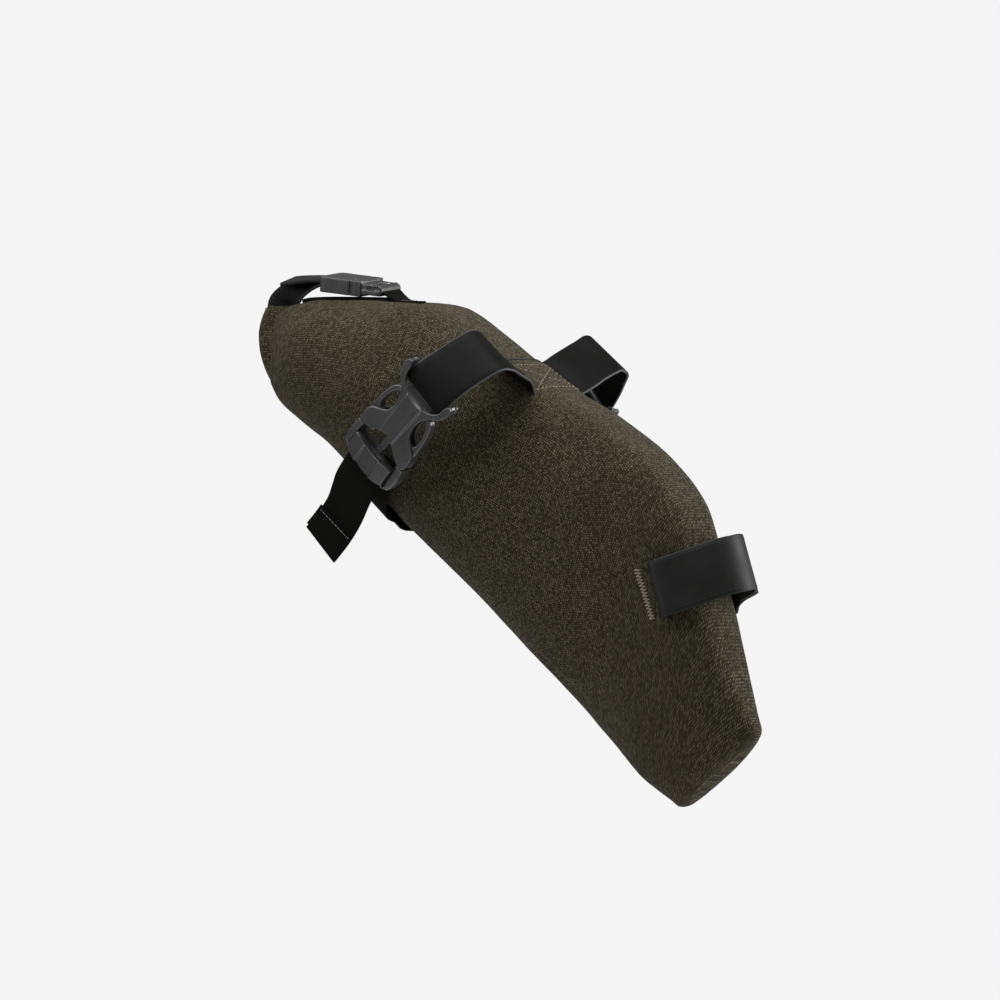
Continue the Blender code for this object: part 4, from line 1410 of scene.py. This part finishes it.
def make_seat_straps(looks):
    """Long strap round the post, and the short flap that its end is tucked under."""
    root = (ROOT_BACK, -ROOT_HALF_SPAN)
    arc = loop_arc(LOOP_RADIUS, TANGENT_ANGLE, 90, 18)
    straight = [(ROOT_BACK + (arc[0][0] - ROOT_BACK) * t, -ROOT_HALF_SPAN + (arc[0][1] + ROOT_HALF_SPAN) * t)
                for t in (0.25, 0.5, 0.75)]
    path = [(ROOT_BACK - ROOT_OVERLAP, -ROOT_HALF_SPAN + ROOT_DEPTH), root]
    path += straight + arc + [(0, LOOP_RADIUS + 1.2)]
    look = looks["seat_strap"]
    long_strap = strap("seat_strap", post_stations(path), STRAP_WIDTH, STRAP_THICKNESS, look, steps=3)
    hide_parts("seatpost_strap")
    sewn = stitches("seat_strap_stitches", edge_stitch_runs(path[2:-2], 1), looks["dark_thread"], dash=2.6,
                    gap=0.7, radius=0.22)
    for piece in (long_strap, sewn):
        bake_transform(piece)
    far_root = (ROOT_BACK, ROOT_HALF_SPAN)
    flap_path = loop_arc(FLAP_RADIUS, FLAP_FIRST_ANGLE, 90, 6)
    flap_path += [(0, FLAP_RADIUS + 1.6), (-9, 32.5), far_root]
    flap_path += [(ROOT_BACK - ROOT_OVERLAP, ROOT_HALF_SPAN - ROOT_DEPTH)]
    flap = strap("seat_flap", post_stations(flap_path), STRAP_WIDTH, STRAP_THICKNESS, look, steps=4)
    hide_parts("seatpost_flap")
    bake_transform(flap)


def tack_runs(tree, side):
    """Short strokes of a bar tack, each sloping the other way from the last."""
    runs = []
    for k in range(TACK_STROKES + 1):
        level = TACK_LENGTH * (k / TACK_STROKES - 0.5)
        slope = TACK_SLOPE if k % 2 else -TACK_SLOPE
        centre = post_plane(ROOT_BACK - TACK_BACK, -side * ROOT_HALF_SPAN) + ALONG_POST * level
        ends = []
        for reach in (-TACK_HALF_WIDTH, TACK_HALF_WIDTH):
            point = centre + FORWARD * reach + ALONG_POST * slope * reach / TACK_HALF_WIDTH
            ends.append(drop_on(tree, point, (0, -side, 0), 0.22))
        runs.append(ends)
    return runs


def slit_stations(tree, side):
    """The line on the bag where a seat-post strap comes out."""
    stations = []
    for k in range(SLIT_STEPS + 1):
        level = (STRAP_WIDTH + 2.4) * (k / SLIT_STEPS - 0.5)
        point = post_plane(ROOT_BACK - SLIT_BACK, -side * ROOT_HALF_SPAN) + ALONG_POST * level
        place, _ = drop_on(tree, point, (0, -side, 0), 0.1)
        stations.append((tuple(place), tuple(FORWARD)))
    return stations


def make_bar_tacks(bag, looks):
    """Dense short threads across a line on each side of the bag, and a thin near-black strip at the slit of
    each strap, painted shadow where the strap goes in.
    """
    tree = surface_tree(bag)
    for side, label in ((1, "near"), (-1, "far")):
        runs = tack_runs(tree, side)
        tack = stitches(f"{label}_tack", runs, looks["thread"], dash=3.9, gap=0.0, radius=0.46)
        finish_piece(tack, "bag", "tan_thread", f"{label}_bar_tack")
        # Painted shadow: a thin near-black strip along the slit where the seat-post strap comes out of the
        # bag.
        slit_shadow_strip = strap(f"{label}_painted_slit_shadow", slit_stations(tree, side), SLIT_WIDTH, SLIT_THICKNESS,
                     looks["slit_shadow_paint"], steps=3)
        finish_piece(slit_shadow_strip, "bag", "olive_fabric")


# ---------------------------------------------------------------- studio

def make_camera():
    aim = Vector(TARGET) * MM
    back = Vector((math.sin(AZIMUTH), -math.cos(AZIMUTH), 0))
    data = bpy.data.cameras.new("camera")
    data.lens = LENS
    data.sensor_width = SENSOR
    data.clip_end = 60
    camera = bpy.data.objects.new("camera", data)
    camera.location = aim + back * (FRAME_WIDTH * MM * LENS / SENSOR)
    camera.rotation_euler = (-back).to_track_quat("-Z", "Y").to_euler()
    bpy.context.scene.collection.objects.link(camera)
    bpy.context.scene.camera = camera
    return aim, back


def make_light(name, aim, offset, size, power):
    data = bpy.data.lights.new(name, "AREA")
    data.shape = "RECTANGLE"
    data.size = size[0]
    data.size_y = size[1]
    data.energy = power
    light = bpy.data.objects.new(name, data)
    light.location = aim + offset
    light.rotation_euler = (-offset).to_track_quat("-Z", "Y").to_euler()
    bpy.context.scene.collection.objects.link(light)


def make_studio():
    """Pale floor, an even pale surround, a soft box above and one on each side."""
    aim, back = make_camera()
    right = Vector((math.cos(AZIMUTH), math.sin(AZIMUTH), 0))
    up = Vector((0, 0, 1))
    for name, (to_right, to_camera, height), size, power in LIGHTS:
        make_light(name, aim, right * to_right + back * to_camera + up * height, size, power)
    shape = bmesh.new()
    bmesh.ops.create_circle(shape, cap_ends=True, segments=96, radius=FLOOR_RADIUS * MM)
    floor = add_piece("floor", mesh_from("floor", shape), floor_material())
    floor.location = (aim.x, aim.y, FLOOR_HEIGHT * MM)
    world = bpy.data.worlds.new("studio")
    bpy.context.scene.world = world
    world.use_nodes = True
    tree = world.node_tree
    surround = tree.nodes["Background"]
    surround.inputs["Color"].default_value = BACKGROUND
    surround.inputs["Strength"].default_value = SURROUND_STRENGTH
    backdrop = tree.nodes.new("ShaderNodeBackground")
    backdrop.inputs["Color"].default_value = BACKGROUND
    seen = tree.nodes.new("ShaderNodeLightPath")
    choose = tree.nodes.new("ShaderNodeMixShader")
    tree.links.new(seen.outputs["Is Camera Ray"], choose.inputs[0])
    tree.links.new(surround.outputs[0], choose.inputs[1])
    tree.links.new(backdrop.outputs[0], choose.inputs[2])
    tree.links.new(choose.outputs[0], tree.nodes["World Output"].inputs["Surface"])
    view = bpy.context.scene.view_settings
    view.view_transform = "Standard"
    view.look = "None"


def assign(frame, node, look):
    frame["nodes"][node].data.materials.clear()
    frame["nodes"][node].data.materials.append(look)


def main():
    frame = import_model()
    make_studio()
    looks = {
        "fabric": fabric_material(),
        "strap": strap_material("rubberised_strap", (0.0065, 0.0066, 0.0062), specular=0.08),
        "seat_strap": strap_material("seat_post_strap", (0.0125, 0.0126, 0.0120), specular=0.26),
        "strap_edge": strap_material("strap_cut_edge", (0.075, 0.077, 0.076)),
        # Near-black look of the painted slit shadows.
        "slit_shadow_paint": strap_material("slit_shadow_look", (0.006, 0.006, 0.005)),
        "webbing": webbing_material("black_webbing", (0.0016, 0.0015, 0.001), (0.0085, 0.0078, 0.0056)),
        "closure_webbing": webbing_material("closure_webbing", (0.016, 0.016, 0.016), (0.060, 0.060, 0.060)),
        "plastic": plastic_material(),
        "thread": thread_material("tan_thread", (0.36, 0.30, 0.22)),
        "grey_thread": thread_material("grey_thread", (0.22, 0.21, 0.19)),
        "dark_thread": thread_material("dark_thread", (0.035, 0.036, 0.036)),
        "pile": pile_material(),
        "sheet": sheet_material(),
    }
    bag = make_bag(frame, looks["fabric"])
    make_roll(looks["fabric"])
    make_saddle_strap(bag, looks)
    for side, label in ((1, "near"), (-1, "far")):
        make_buckle(side, label, looks)
        make_tail(side, label, looks)
    make_compression(bag, looks)
    make_closure(looks)
    make_seat_straps(looks)
    make_bar_tacks(bag, looks)
    for node in ("base_stiffener", "roll_stiffener"):
        assign(frame, node, looks["sheet"])
    for node in ("strap_hook_pad", "flap_loop_pad"):
        assign(frame, node, looks["pile"])


main()
